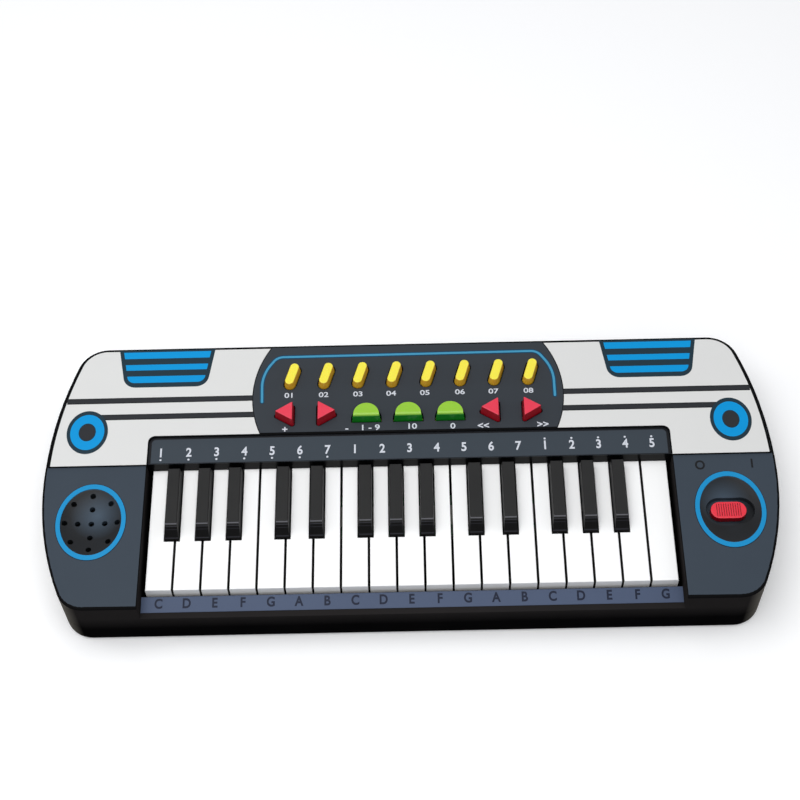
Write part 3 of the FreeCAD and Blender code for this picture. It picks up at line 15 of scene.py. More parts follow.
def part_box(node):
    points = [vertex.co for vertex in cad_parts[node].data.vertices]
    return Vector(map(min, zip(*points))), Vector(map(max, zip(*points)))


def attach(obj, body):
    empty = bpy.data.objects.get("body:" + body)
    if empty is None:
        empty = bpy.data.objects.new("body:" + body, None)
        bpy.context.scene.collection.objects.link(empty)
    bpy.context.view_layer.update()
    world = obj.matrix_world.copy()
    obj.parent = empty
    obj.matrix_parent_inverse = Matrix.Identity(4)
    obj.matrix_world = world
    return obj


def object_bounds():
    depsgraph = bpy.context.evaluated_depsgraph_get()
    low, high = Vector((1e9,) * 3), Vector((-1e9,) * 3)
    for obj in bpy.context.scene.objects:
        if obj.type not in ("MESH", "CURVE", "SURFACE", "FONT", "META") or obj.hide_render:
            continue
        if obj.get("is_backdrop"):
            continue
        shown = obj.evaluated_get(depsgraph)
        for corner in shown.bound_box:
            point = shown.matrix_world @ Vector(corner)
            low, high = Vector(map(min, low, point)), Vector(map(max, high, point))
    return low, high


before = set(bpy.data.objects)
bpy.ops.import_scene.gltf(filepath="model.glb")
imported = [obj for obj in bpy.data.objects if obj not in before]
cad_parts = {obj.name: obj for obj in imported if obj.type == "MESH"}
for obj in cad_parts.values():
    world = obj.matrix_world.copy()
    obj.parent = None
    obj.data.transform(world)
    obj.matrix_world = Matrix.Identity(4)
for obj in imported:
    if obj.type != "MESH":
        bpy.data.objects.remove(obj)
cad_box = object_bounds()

# %% [markdown]
# Printed shapes are small, and a curve fills itself cleanly only when its points aren't tiny. So
# every place below is a number of millimetres, and `MM` turns it into metres at the very end.
# Places come from the frame wherever a piece shows them. The few that no piece shows alone, such as
# how far the number strip reaches, are named here.

# %% Name the places
MM = 0.001
WHITE_KEYS = 19
WING_DROP = 1.2
KEYS_DEEP, STRIP_DEEP, WELL_MARGIN = 74.9, 17.2, 2.15
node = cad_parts


def box(name):
    """The lowest and highest corner of a node, in millimetres."""
    low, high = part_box(name)
    return Vector(low) / MM, Vector(high) / MM


def middle(name):
    """The middle of a node's box, in millimetres."""
    low, high = box(name)
    return (low + high) / 2


shell_high = box("top_housing")[1]
half_wide, half_deep, deck_top = shell_high.x, shell_high.y, shell_high.z
wing_top = deck_top - WING_DROP
first_key, last_key = box("white_key_01"), box("white_key_19")
key_front, key_top = first_key[0].y, first_key[1].z
key_pitch = (last_key[0].x - first_key[0].x) / (WHITE_KEYS - 1)
half_well = key_pitch * WHITE_KEYS / 2 + WELL_MARGIN
strip_front = key_front + KEYS_DEEP
deck_front = strip_front + STRIP_DEEP
print("key pitch %.2f mm, deck at %.1f mm" % (key_pitch, deck_top))

# %% [markdown]
# The camera stands high in front of the keys with a long lens, turned and rolled by a degree or
# two, as a camera held by hand often is. Its rotation is three plain turns: about the upright,
# down towards the toy, and about its own line of sight.

# %% Set the camera
CAMERA_AT = Vector((5.28, -476.76, 872.7))
CAMERA_TURN, CAMERA_DIP, CAMERA_ROLL = 1.085, 58.0, -2.142
LENS, SENSOR = 77.13, 36
camera = bpy.data.objects.new("camera", bpy.data.cameras.new("camera"))
bpy.context.scene.collection.objects.link(camera)
bpy.context.scene.camera = camera
camera.data.lens, camera.data.sensor_width = LENS, SENSOR
turns = (Matrix.Rotation(math.radians(CAMERA_TURN), 4, "Z")
         @ Matrix.Rotation(math.radians(90 - CAMERA_DIP), 4, "X")
         @ Matrix.Rotation(math.radians(CAMERA_ROLL), 4, "Z"))
camera.matrix_world = Matrix.Translation(CAMERA_AT * MM) @ turns
print("camera looks along", [round(v, 3) for v in -turns.col[2].xyz])

# %% [markdown]
# ## Materials
# Shader maths reads best as sums. `Wire` wraps one output socket and turns `+`, `-`, `*`, `<` and
# `>` into Math nodes, with the reflected forms so that `1 - mask` works too. `size` drops a sign,
# and `share` keeps a value between 0 and 1, which is what a mask needs.

# %% A class for shader sums
class Wire:
    """One output socket, so that sums on it make Math nodes."""

    def __init__(self, nodes, socket):
        self.nodes, self.socket = nodes, socket

    def maths(self, operation, *values):
        return self.nodes.add("ShaderNodeMath", {"operation": operation}, dict(enumerate(values)))

    def __add__(self, other):
        return self.maths("ADD", self, other)

    def __sub__(self, other):
        return self.maths("SUBTRACT", self, other)

    def __rsub__(self, other):
        return self.maths("SUBTRACT", other, self)

    def __mul__(self, other):
        return self.maths("MULTIPLY", self, other)

    def __gt__(self, other):
        return self.maths("GREATER_THAN", self, other)

    def __lt__(self, other):
        return self.maths("LESS_THAN", self, other)

    __radd__, __rmul__ = __add__, __mul__

    def size(self):
        return self.maths("ABSOLUTE", self)

    def share(self):
        return self.maths("MINIMUM", self.maths("MAXIMUM", self, 0.0), 1.0)


print("sums make nodes")

# %% [markdown]
# `Nodes` holds one node tree. Its `add` method makes any other node, with its settings set first
# and its sockets fed after, and `mix` blends two colours, which a Math node can't do. The same
# class serves the room's own tree as well as the materials. `Paint` adds what every material
# needs: where a point is, noise, relief, and the fine grain of a mould.

# %% A class for a node tree
class Nodes:
    """A node tree and ways to add to it."""

    def __init__(self, tree):
        self.tree = tree

    def feed(self, target, sockets):
        """Give a node's sockets their values or links."""
        for name, value in sockets.items():
            if isinstance(value, Wire):
                self.tree.links.new(value.socket, target.inputs[name])
            else:
                target.inputs[name].default_value = value

    def add(self, kind, settings=None, sockets=None, result=0):
        """Add any node and give back one of its outputs."""
        made = self.tree.nodes.new(kind)
        for name, value in (settings or {}).items():
            setattr(made, name, value)
        self.feed(made, sockets or {})
        return Wire(self, made.outputs[result])

    def mix(self, share, first, second):
        """From the first colour to the second as share goes from 0 to 1."""
        return self.add("ShaderNodeMix", {"data_type": "RGBA"}, {0: share, 6: first, 7: second}, 2)

    def seen_directly(self):
        """1 for what the camera sees itself, in a reflection or through something clear."""
        rays = [self.add("ShaderNodeLightPath", result=name)
                for name in ("Is Camera Ray", "Is Glossy Ray", "Is Transmission Ray")]
        return rays[0].maths("MAXIMUM", rays[0], rays[1].maths("MAXIMUM", rays[1], rays[2]))


MOULD_GRAIN, GLOSS_SPREAD = (1700.0, 3.0), 0.12


class Paint(Nodes):
    """A material and the nodes in it."""

    def __init__(self, name, sockets=None):
        self.material = bpy.data.materials.new(name)
        self.material.use_nodes = True
        super().__init__(self.material.node_tree)
        self.shader = self.tree.nodes["Principled BSDF"]
        self.feed(self.shader, sockets or {})

    def place(self):
        """Where a point is on the object, in metres."""
        return self.add("ShaderNodeTexCoord", result="Object")

    def part(self, vector, way):
        """One of the three numbers of a vector: X, Y or Z."""
        return self.add("ShaderNodeSeparateXYZ", None, {"Vector": vector}, way)

    def facing(self):
        """Which way the surface looks."""
        return self.add("ShaderNodeNewGeometry", result="Normal")

    def noise(self, scale, detail=2.0):
        sockets = {"Vector": self.place(), "Scale": scale, "Detail": detail}
        return self.add("ShaderNodeTexNoise", None, sockets)

    def bump(self, height, depth):
        """A Bump node; depth is the real height of the relief in millimetres."""
        return self.add("ShaderNodeBump", None, {"Height": height, "Distance": depth * MM})

    def grain(self, rough, depth, spread=GLOSS_SPREAD):
        """Break up the gloss above a lowest roughness; depth is the relief in millimetres."""
        fine = self.noise(*MOULD_GRAIN)
        self.feed(self.shader, {"Roughness": fine * spread + rough,
                                "Normal": self.bump(fine, depth)})


print("one method adds any node")

# %% [markdown]
# Colours are easiest to give as screen values from 0 to 255, but a shader works in linear light, so
# each one goes through the screen's own curve once.

# %% Screen colours to linear light
def tone(red, green, blue):
    """A screen colour from 0 to 255 as the linear colour that a shader takes."""
    def linear(value):
        share = value / 255
        return share / 12.92 if share <= 0.04045 else ((share + 0.055) / 1.055) ** 2.4
    return tuple(linear(value) for value in (red, green, blue)) + (1.0,)


def deeper(shade, share):
    """A colour made darker by a share, or paler where the share is negative."""
    return tuple(min(value * (1 - share), 1.0) for value in shade[:3]) + (1.0,)


print("a mid grey of 128 is", round(tone(128, 128, 128)[0], 3), "in linear light")

# %% [markdown]
# Nearly everything on this toy is injection-moulded plastic. One function makes all of it: the
# colour drifts by a few percent over centimetres, as real pigment does, the gloss breaks up over
# millimetres, and a fine grain stands for the spark-eroded texture of the mould. A smooth mould
# gives a glossy piece, so the grain's depth, the roughness and the surface's mirror share are what
# tell the pieces apart. The white keys also glow very faintly, a shortcut that lifts them to full
# white.

# %% Moulded plastic
PIGMENT_DRIFT = 45.0


def moulded(name, shade, rough, grain=0.004, drift=0.05, mirror=0.25, sockets=None):
    """Plastic with a base colour, a mean roughness and a grain depth in millimetres."""
    paint = Paint(name, {"Specular IOR Level": mirror, **(sockets or {})})
    cloud = paint.noise(PIGMENT_DRIFT)
    paint.feed(paint.shader, {
        "Base Color": paint.mix(cloud, deeper(shade, drift), deeper(shade, -drift))})
    paint.grain(rough - GLOSS_SPREAD / 2, grain)
    return paint.material


shell_slate = moulded("shell_slate", tone(57, 66, 76), 0.5, grain=0.012, mirror=0.12)
shell_dark = moulded("shell_dark", tone(20, 20, 21), 0.5, grain=0.01, mirror=0.0)
brow_black = moulded("brow_black", tone(7, 7, 8), 0.22, grain=0.002, mirror=0.1)
# The faces of the lower shell that look up are painted near black as shade.
tray_black = moulded("tray_black", tone(7, 7, 8), 0.5, grain=0.02, mirror=0.0)
tray_under = moulded("tray_under", tone(34, 34, 35), 0.5, grain=0.02)
key_white = moulded("key_white", tone(252, 252, 251), 0.3, grain=0.001, drift=0.004, mirror=0.5,
                     sockets={"Emission Color": (1, 1, 1, 1), "Emission Strength": 0.04})
# The white keys' sides are painted grey as shade.
key_white_side = moulded("key_white_side", tone(96, 95, 93), 0.5, drift=0.03, mirror=0.1)
print("moulded finishes:", len(bpy.data.materials))

# %% [markdown]
# The outer walls are a deeper black than the top. Side light makes such walls paler just under the
# edge and at the rounded corners, and here that light is painted as a colour. One mask rises with
# height over about a centimetre. The other rises with how far a wall faces left or right, and
# holds only outside the well. This is a shortcut with a cost: painted light stays put when the
# lamps move, and it makes the end walls grey where the back wall is black.

# %% The outer walls
FADE_FROM, FADE_OVER = 13, 13
TURN_START, TURN_GAIN, WING_START = 0.3, 1.2, 8


def wall_plastic():
    """Matt black plastic that is paler towards the top edge and greyer round the sides."""
    paint = Paint("shell_side", {"Specular IOR Level": 0.0})
    spot = paint.place()
    climb = ((paint.part(spot, "Z") - FADE_FROM * MM) * (1 / (FADE_OVER * MM))).share()
    outside = paint.part(spot, "X").size() > (half_well + WING_START) * MM
    aside = paint.part(paint.facing(), "X").size() - TURN_START
    turn = aside.maths("MAXIMUM", aside, 0.0) * outside * TURN_GAIN
    cloud = paint.noise(PIGMENT_DRIFT)
    wall = paint.mix(climb * 0.85 + cloud * 0.15, tone(6, 6, 7), tone(42, 40, 40))
    paint.feed(paint.shader, {"Base Color": paint.mix(turn, wall, tone(128, 124, 116))})
    paint.grain(0.4, 0.01)
    return paint.material


shell_side = wall_plastic()
print("outer walls made")

# %% [markdown]
# The dishes are smoother than the wings. They are a warm black round the rim, with a blue-grey
# sheen a little behind the middle. The sheen is painted as a colour too, so it also stays put when
# the lamps move. It fades with distance, and dropping the sign of X serves both dishes.

# %% The dishes
PATCH_INWARD, PATCH_BACK, PATCH_REACH = 3, 5, 15


def dish_plastic():
    """Dark smooth plastic with a paler, bluer patch behind the middle of each dish."""
    paint = Paint("dish_black", {"Specular IOR Level": 0.12})
    spot = paint.place()
    out = paint.part(spot, "X").size() - (dish_x - PATCH_INWARD) * MM
    up = paint.part(spot, "Y") - (dish_y + PATCH_BACK) * MM
    far = out.maths("SQRT", out * out + up * up) * (1 / (PATCH_REACH * MM))
    sheen = far.maths("MAXIMUM", 1 - far, 0.0)
    cloud = paint.noise(90.0)
    paint.feed(paint.shader, {
        "Base Color": paint.mix(sheen * 0.9 + cloud * 0.1, tone(25, 25, 26), tone(68, 82, 96)),
        "Roughness": cloud * 0.1 + 0.28,
        "Normal": paint.bump(paint.noise(*MOULD_GRAIN), 0.005)})
    return paint.material


DISH_WIDE, DISH_DEEP = 16.8, 20.2
dish_x, dish_y = abs(middle("speaker").x), middle("speaker").y
dish_black = dish_plastic()
print("dish plastic made")

# %% [markdown]
# A black key is satin on top. Down its leaning sides it is painted nearly black as shade, and so is
# the lower part of its sloped front. Thin pale lines cross that front, where light catches the
# plastic. They are painted on, because the shape is plain there. A line is a mask on the height:
# above one level and below the next. Each has a place below the top, a width and a grey.

# %% Black keys
FRONT_DEEP, FRONT_DROP = 7.3, 1.2
FRONT_HIGHLIGHTS = ((0.15, 0.5, 104), (1.5, 0.28, 62), (2.9, 0.25, 42), (6.7, 0.5, 46))
black_low, black_high = box("black_key_01")


def black_key_plastic():
    """Satin black plastic with painted highlight lines and painted shade on its sloped front."""
    paint = Paint("key_black", {"Specular IOR Level": 0.08})
    spot = paint.place()
    height = paint.part(spot, "Z")
    front = paint.part(spot, "Y") < (black_low.y + FRONT_DEEP) * MM
    shade = paint.mix(paint.noise(60.0), tone(40, 40, 40), tone(45, 45, 45))
    # The lower part of the sloped front is painted near black as shade.
    low_front_shade = front * (height < (black_high.z - FRONT_DROP) * MM)
    shade = paint.mix(low_front_shade, shade, tone(7, 7, 8))
    for below_top, wide, pale in FRONT_HIGHLIGHTS:
        level = black_high.z - below_top
        mask = (height < level * MM) * (height > (level - wide) * MM) * front
        shade = paint.mix(mask, shade, tone(pale, pale, pale + 5))
    paint.feed(paint.shader, {"Base Color": shade})
    paint.grain(0.32, 0.003)
    return paint.material


key_black = black_key_plastic()
# The leaning sides are painted near black as shade.
key_black_side = moulded("key_black_side", tone(7, 7, 8), 0.55, grain=0.003, mirror=0.12)
print("black key: satin top, dark sides")

# %% [markdown]
# The buttons are dyed right through, so light enters an edge and comes out a little way off. A
# small subsurface share, set as plain numbers on the shader, gives that glow without any texture.
# Their sides are deeper in colour than their tops, which is
# painted shade: the colour deepens as a face turns from level to upright, where less light gets in.

# %% Dyed button plastic
TOP_START, TOP_GAIN = 0.35, 2.2


def dyed(name, top, side, glow):
    """Glossy plastic dyed through: one colour on top, and a deeper one down the sides as painted
    shade.
    """
    paint = Paint(name, {"Subsurface Weight": 0.2, "Subsurface Radius": glow,
                         "Subsurface Scale": MM, "Specular IOR Level": 0.4})
    # The top colour gives way to the deeper side colour as a face turns upright: painted shade.
    lie = ((paint.part(paint.facing(), "Z") - TOP_START) * TOP_GAIN).share()
    cloud = paint.noise(80.0)
    shade = paint.mix(lie, paint.mix(cloud, deeper(side, 0.06), side),
                      paint.mix(cloud, deeper(top, 0.04), top))
    paint.feed(paint.shader, {"Base Color": shade})
    paint.grain(0.2, 0.0015, spread=0.1)
    return paint.material


button_yellow = dyed("button_yellow", tone(246, 232, 72), tone(232, 178, 48), (1.2, 0.8, 0.2))
button_red = dyed("button_red", tone(228, 52, 78), tone(166, 20, 34), (1.4, 0.3, 0.3))
button_green = dyed("button_green", tone(146, 198, 48), tone(18, 122, 28), (0.5, 1.2, 0.3))
slider_red = dyed("slider_red", tone(232, 44, 64), tone(134, 8, 22), (1.4, 0.3, 0.3))
# The groove floors take a deeper red, which is painted shade.
slider_groove = dyed("slider_groove", tone(176, 20, 40), tone(134, 8, 22), (1.4, 0.3, 0.3))
print("button colours: yellow, red, green and the slider's red")

# %% [markdown]
# The panel, the pale side sheets and every stripe on them are screen-printed on thin plastic film.
# Ink lies as a very fine dot, so its colour is even with a slight mottle, and the film is satin.

# %% Printed films and inks
def printed(name, shade, mottle=0.04):
    """Ink on satin film."""
    return moulded(name, shade, 0.42, grain=0.002, drift=mottle, mirror=0.15)


film_grey = printed("film_grey", tone(49, 54, 60))
film_letters = printed("film_letters", tone(72, 84, 108))
film_pale = printed("film_pale", tone(219, 219, 217), mottle=0.012)
film_slate = printed("film_slate", tone(55, 63, 71))
ink_black = printed("ink_black", tone(15, 16, 20))
ink_line = printed("ink_line", tone(38, 40, 44))
ink_teal = printed("ink_teal", tone(24, 46, 58))
ink_blue = printed("ink_blue", tone(0, 146, 212))
ink_ring = printed("ink_ring", tone(26, 140, 196))
ink_panel_blue = printed("ink_panel_blue", tone(66, 146, 182))
ink_deep_blue = printed("ink_deep_blue", tone(14, 62, 92))
ink_white = printed("ink_white", tone(206, 210, 218), mottle=0.02)
ink_navy = printed("ink_navy", tone(18, 26, 46))
print("films and inks ready")

# %% [markdown]
# A few pieces only show through the speaker holes, from below or when the case is open, but they
# get their real finish too. Screws, contacts and the switch are bare metal with a brushed grain,
# which is noise stretched one way.

# %% Bare metal and rubber
def metal(name, shade, rough):
    """Bare metal with a fine brushed grain."""
    paint = Paint(name, {"Metallic": 1.0, "Base Color": shade})
    stretch = paint.add("ShaderNodeMapping", None, {"Vector": paint.place(), "Scale": (1, 8, 8)})
    lines = paint.add("ShaderNodeTexNoise", None, {"Vector": stretch, "Scale": 900.0})
    paint.feed(paint.shader, {"Roughness": lines * 0.25 + rough,
                              "Normal": paint.bump(lines, 0.004)})
    return paint.material


def rubber(name, shade):
    """Matt rubber with a dusty bloom."""
    return moulded(name, shade, 0.85, grain=0.03, drift=0.12)


steel = metal("screw_steel", tone(168, 168, 166), 0.28)
nickel = metal("contact_nickel", tone(196, 194, 186), 0.2)
can_steel = metal("switch_steel", tone(182, 182, 182), 0.3)
foot_rubber = rubber("foot_rubber", tone(30, 30, 30))
mat_silicone = rubber("mat_silicone", tone(198, 198, 192))
print("metal and rubber ready")

# %% [markdown]
# The speaker's cone is pressed paper with round ridges about its own axis, and the boards are
# green solder mask with the copper tracks standing a little paler under it.

# %% Paper cone and boards
def paper_cone():
    paint = Paint("paper_cone", {"Roughness": 0.9})
    shift = paint.add("ShaderNodeMapping", None,
                      {"Vector": paint.place(), "Location": -middle("speaker") * MM})
    rings = paint.add("ShaderNodeTexWave", {"wave_type": "RINGS", "rings_direction": "Z"},
                      {"Vector": shift, "Scale": 400.0})
    fibre = paint.noise(900.0, 4.0)
    paint.feed(paint.shader, {"Base Color": paint.mix(fibre, tone(10, 10, 11), tone(20, 19, 18)),
                              "Normal": paint.bump(rings + fibre, 0.05)})
    return paint.material


def board():
    paint = Paint("board_green", {"Roughness": 0.35})
    tracks = paint.add("ShaderNodeTexBrick", {"offset": 0.35}, {
        "Vector": paint.place(), "Scale": 60.0, "Mortar Size": 0.012, "Color1": (0, 0, 0, 1),
        "Color2": (0, 0, 0, 1), "Mortar": (1, 1, 1, 1), "Brick Width": 0.9, "Row Height": 0.16}, 1)
    paint.feed(paint.shader, {"Base Color": paint.mix(tracks, tone(16, 78, 44), tone(46, 128, 72)),
                              "Normal": paint.bump(tracks, 0.03)})
    return paint.material


cone, circuit = paper_cone(), board()
print("paper and boards ready")

# %% [markdown]
# ## Dressing the moulded pieces
# A piece that arrives in the frame has one material slot; we swap what is in it. Buttons, boards
# and metal parts come in families of one finish each, so the start of a name says which finish a
# piece takes. The keys, the slider, the shells and the printed film need more, and follow.

# %% Dress the plain pieces
def dress(name, *finishes):
    """Give a node these materials, in slot order."""
    mesh = node[name].data
    mesh.materials.clear()
    for finish in finishes:
        mesh.materials.append(finish)


FAMILIES = {"yellow_button": button_yellow, "red_button": button_red,
            "green_button": button_green, "screws": steel, "battery_contacts": nickel,
            "slide_switch": can_steel, "rubber_feet": foot_rubber,
            "contact_mats": mat_silicone, "speaker": cone, "main_board": circuit,
            "key_board": circuit, "battery_door": tray_under}
dressed = 0
for name in node:
    for family, finish in FAMILIES.items():
        if name.startswith(family):
            dress(name, finish)
            dressed += 1
print("dressed by family:", dressed)

# %% [markdown]
# A face's slot is a plain number on the mesh, so one moulding can carry several finishes without
# any change to its shape. Each key has its own finish on top and in front, and a darker one down
# its sides, which face a neighbour a hair away: that darker finish is painted shade.

# %% Sort the faces of the keys
SIDEWAYS = 0.8
KEY_FINISHES = {"black_key": (key_black, key_black_side),
                "white_key": (key_white, key_white_side)}
for name in node:
    for family, finishes in KEY_FINISHES.items():
        if name.startswith(family):
            dress(name, *finishes)
            for face in node[name].data.polygons:
                face.material_index = 1 if abs(face.normal.x) > SIDEWAYS else 0
print("key faces sorted")

# %% [markdown]
# The slider's thumb grip has cut grooves, whose floors are painted a deeper red as shade. They lie
# just under the knob's top.

# %% Sort the faces of the slider
FLAT, GROOVE_FLOOR = 0.9, 0.2
dress("power_slider", slider_red, slider_groove)
slider_high = box("power_slider")[1].z
for face in node["power_slider"].data.polygons:
    below = face.center.z / MM < slider_high - GROOVE_FLOOR
    face.material_index = 1 if below and face.normal.z > FLAT else 0
print("slider faces sorted")

# %% [markdown]
# The upper shell is one moulding with several finishes: the flat wings are slate, the deck and the
# walls are dark, the wall under the number strip is glossy, and the two dishes are smooth. Which
# face belongs to which is a matter of where it lies and which way it faces.

# %% Sort the faces of the upper shell
SHELL_FINISHES = (shell_slate, shell_dark, dish_black, shell_side, brow_black)
SLATE, DARK, DISH, SIDE, BROW = range(len(SHELL_FINISHES))
HAIR, TOUCH, LEVEL = 0.01, 0.1, 0.98
BROW_THICK, RIM_DEEP = 1.2, 1.6


def finish_of(face):
    """The slot of one face of the upper shell."""
    x, y, z = face.center / MM
    below = z < wing_top - HAIR
    if below and math.hypot((abs(x) - dish_x) / DISH_WIDE, (y - dish_y) / DISH_DEEP) < 1:
        return DISH
    if abs(x) < half_well + TOUCH and strip_front - BROW_THICK < y < strip_front + TOUCH:
        return BROW
    if z < wing_top - RIM_DEEP:
        return SIDE
    on_wing = not below and z < wing_top + WING_DROP / 2
    return SLATE if face.normal.z > LEVEL and on_wing else DARK


dress("top_housing", *SHELL_FINISHES)
counts = [0] * len(SHELL_FINISHES)
for face in node["top_housing"].data.polygons:
    face.material_index = finish_of(face)
    counts[face.material_index] += 1
print("shell faces by finish:", counts)

# %% [markdown]
# The lower shell carries on the outer walls, and its upright faces inside share their finish. It
# is greyer on the underside, so that the door and the screw holes show. Where it looks up it is
# black plastic painted darker still as shade, so that the gaps round the keys stay dark.

# %% Sort the faces of the lower shell
TRAY_FINISHES = (tray_black, shell_side, tray_under)
INSIDE, WALL, UNDER = range(len(TRAY_FINISHES))
dress("bottom_housing", *TRAY_FINISHES)
for face in node["bottom_housing"].data.polygons:
    if abs(face.normal.z) < FLAT:
        face.material_index = WALL
    else:
        face.material_index = UNDER if face.normal.z < -FLAT else INSIDE
print("lower shell faces sorted")

# %% [markdown]
# The printed film is one node with two sheets: the button panel on the deck, and the letter strip
# on the ledge in front of the keys, which is bluer.

# %% Sort the faces of the film
dress("graphic_film", film_grey, film_letters)
for face in node["graphic_film"].data.polygons:
    face.material_index = 0 if face.center.y / MM > strip_front else 1
print("film sheets sorted")

# %% [markdown]
# ## Flat shapes
# Every sheet, stripe and ring below is a flat shape with a real, small thickness. We draw its
# outline as a curve in the plane, because a flat curve fills itself, keeps holes, and takes a
# thickness and a soft rim as plain numbers. The curve is in millimetres; its object is scaled, and
# then it becomes a mesh in metres with its corners welded.

# %% A curve becomes a piece
WELD, SLIVER = 0.002, 0.001


def collect(name, made, finish, body="case"):
    """Turn a curve drawn in millimetres into a clean mesh piece that rides on a body."""
    made.matrix_world = Matrix.Scale(MM, 4) @ made.matrix_world
    bpy.context.scene.collection.objects.link(made)
    bpy.context.view_layer.update()
    graph = bpy.context.evaluated_depsgraph_get()
    mesh = bpy.data.meshes.new_from_object(made.evaluated_get(graph))
    mesh.transform(made.matrix_world)
    bpy.data.objects.remove(made)
    work = bmesh.new()
    work.from_mesh(mesh)
    bmesh.ops.remove_doubles(work, verts=work.verts, dist=WELD * MM)
    bmesh.ops.dissolve_degenerate(work, edges=work.edges, dist=SLIVER * MM)
    bmesh.ops.recalc_face_normals(work, faces=work.faces)
    work.to_mesh(mesh)
    work.free()
    mesh.materials.clear()
    mesh.materials.append(finish)
    piece = bpy.data.objects.new(name, mesh)
    bpy.context.scene.collection.objects.link(piece)
    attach(piece, body)
    return piece


print("pieces are welded meshes that ride on a body")

# %% [markdown]
# `BED` sinks a sheet a hair into what it lies on, so that no light gets under it, and `INK` is the
# thickness of one layer of print. Layers that overlap are stacked a layer apart.

# %% Sheets
BED, INK = 0.02, 0.05


def sheet(name, outlines, level, thick, finish, rim=0.0):
    """A flat piece from closed outlines; an outline inside another makes a hole."""
    curve = bpy.data.curves.new(name, "CURVE")
    curve.dimensions, curve.fill_mode = "2D", "BOTH"
    for outline in outlines:
        spline = curve.splines.new("POLY")
        spline.points.add(len(outline) - 1)
        for point, spot in zip(spline.points, outline):
            point.co = (spot[0], spot[1], 0, 1)
        spline.use_cyclic_u = True
    curve.extrude = (thick + BED) / 2 - rim
    curve.bevel_depth, curve.offset, curve.bevel_resolution = rim, -rim, 1
    made = bpy.data.objects.new(name, curve)
    made.matrix_world = Matrix.Translation((0, 0, level + (thick - BED) / 2))
    return collect(name, made, finish)


print("one layer of ink is %.2f mm" % INK)

# %% [markdown]
# Outlines are lists of points. `arc` gives a round stretch, `rounded` takes corners with a radius
# each, and `mirrored` turns an outline over for the other side of the toy.

# %% Outlines
def arc(centre, radius, start, end, steps=20):
    """Points on a round stretch between two angles in degrees; radius may be (along x, along y)."""
    wide, deep = radius if isinstance(radius, tuple) else (radius, radius)
    turns = [math.radians(start + (end - start) * step / steps) for step in range(steps + 1)]
    return [(centre[0] + wide * math.cos(turn), centre[1] + deep * math.sin(turn))
            for turn in turns]


def oval(centre, wide, deep, steps=96):
    return arc(centre, (wide, deep), 0, 360, steps)[:-1]


def rounded(corners, steps=8):
    """An outline from (x, y, radius) corners, each rounded to meet both of its sides."""
    points = []
    for order, (x, y, radius) in enumerate(corners):
        here = Vector((x, y))
        if radius == 0:
            points.append(here)
            continue
        back = (Vector(corners[order - 1][:2]) - here).normalized()
        ahead = (Vector(corners[(order + 1) % len(corners)][:2]) - here).normalized()
        half = back.angle(ahead) / 2
        centre = here + (back + ahead).normalized() * radius / math.sin(half)
        reach = radius / math.tan(half)
        start, end = here + back * reach - centre, here + ahead * reach - centre
        for step in range(steps + 1):
            points.append(centre + start.slerp(end, step / steps).normalized() * radius)
    return points


def mirrored(outline):
    """The same outline on the other side of the middle."""
    return [(-x, y) for x, y in outline][::-1]


SIDES = (("right", list), ("left", mirrored))
print("a rounded square has", len(rounded([(0, 0, 1), (9, 0, 1), (9, 9, 1), (0, 9, 1)])), "points")

# %% [markdown]
# The pale side sheets follow the case's own outline, a little inside it. That outline is built the
# way the case is: a bow of large radius down each side that runs into a round corner at the back.

# %% The outline of the case at the back right
SIDE_BOW, BACK_CORNER, BOW_MIDDLE = 230, 18, 77.8
side_line = BOW_MIDDLE - half_deep


def back_right(inset, start_y):
    """Points up the right side from a place along Y to the middle of the back edge."""
    centre = (half_wide - SIDE_BOW, side_line)
    rise = half_deep - BACK_CORNER - side_line
    across = math.sqrt((SIDE_BOW - BACK_CORNER) ** 2 - rise ** 2)
    turn = math.degrees(math.atan2(rise, across))
    corner = (centre[0] + across, side_line + rise)
    start = math.degrees(math.asin((start_y - side_line) / (SIDE_BOW - inset)))
    return (arc(centre, SIDE_BOW - inset, start, turn)
            + arc(corner, BACK_CORNER - inset, turn, 90)[1:])


def edge_x(y, inset):
    """How far out the case reaches at a place along Y, less an inset."""
    radius = SIDE_BOW - inset
    return half_wide - SIDE_BOW + math.sqrt(radius ** 2 - (y - side_line) ** 2)


print("the side bows out to %.1f mm" % edge_x(side_line, 0))

# %% [markdown]
# The sheet's inner side follows the bulge of the button panel, which is a single arc between the
# panel's front and back corners.

# %% The side of the button panel
SHEET_INSET, SHEET_THICK = 3.0, 0.25
PANEL_FRONT, PANEL_BACK, PANEL_BOW = 84.2, 78.8, 62
PANEL_MARGIN_FRONT, PANEL_MARGIN_BACK, SHEET_LAP = 1.2, 2.6, 0.6
SHEET_GAP, STRIPE_GAP = 0.5, 0.3
panel_front, panel_back = deck_front + PANEL_MARGIN_FRONT, half_deep - PANEL_MARGIN_BACK


def panel_side(gap):
    """Points down the right side of the button panel, from back to front, moved out by a gap."""
    front, back = Vector((PANEL_FRONT, panel_front)), Vector((PANEL_BACK, panel_back))
    chord = back - front
    lift = math.sqrt(PANEL_BOW ** 2 - (chord.length / 2) ** 2)
    centre = (front + back) / 2 + Vector((-chord.y, chord.x)).normalized() * lift
    radius = PANEL_BOW + gap
    low = math.degrees(math.asin((panel_front - SHEET_LAP - centre.y) / radius))
    high = math.degrees(math.asin((half_deep - SHEET_INSET - centre.y) / radius))
    return arc(centre, radius, high, low, 60)


def panel_x(y):
    """Where a stripe meets the button panel's right edge at a place along Y."""
    return min(panel_side(STRIPE_GAP), key=lambda spot: abs(spot[1] - y))[0]


print("panel bulges to %.1f mm" % max(x for x, y in panel_side(0)))

# %% [markdown]
# The sheets are pale grey with a soft rim. Their front edge runs beside the number strip, and they
# go round the strip's back corner.

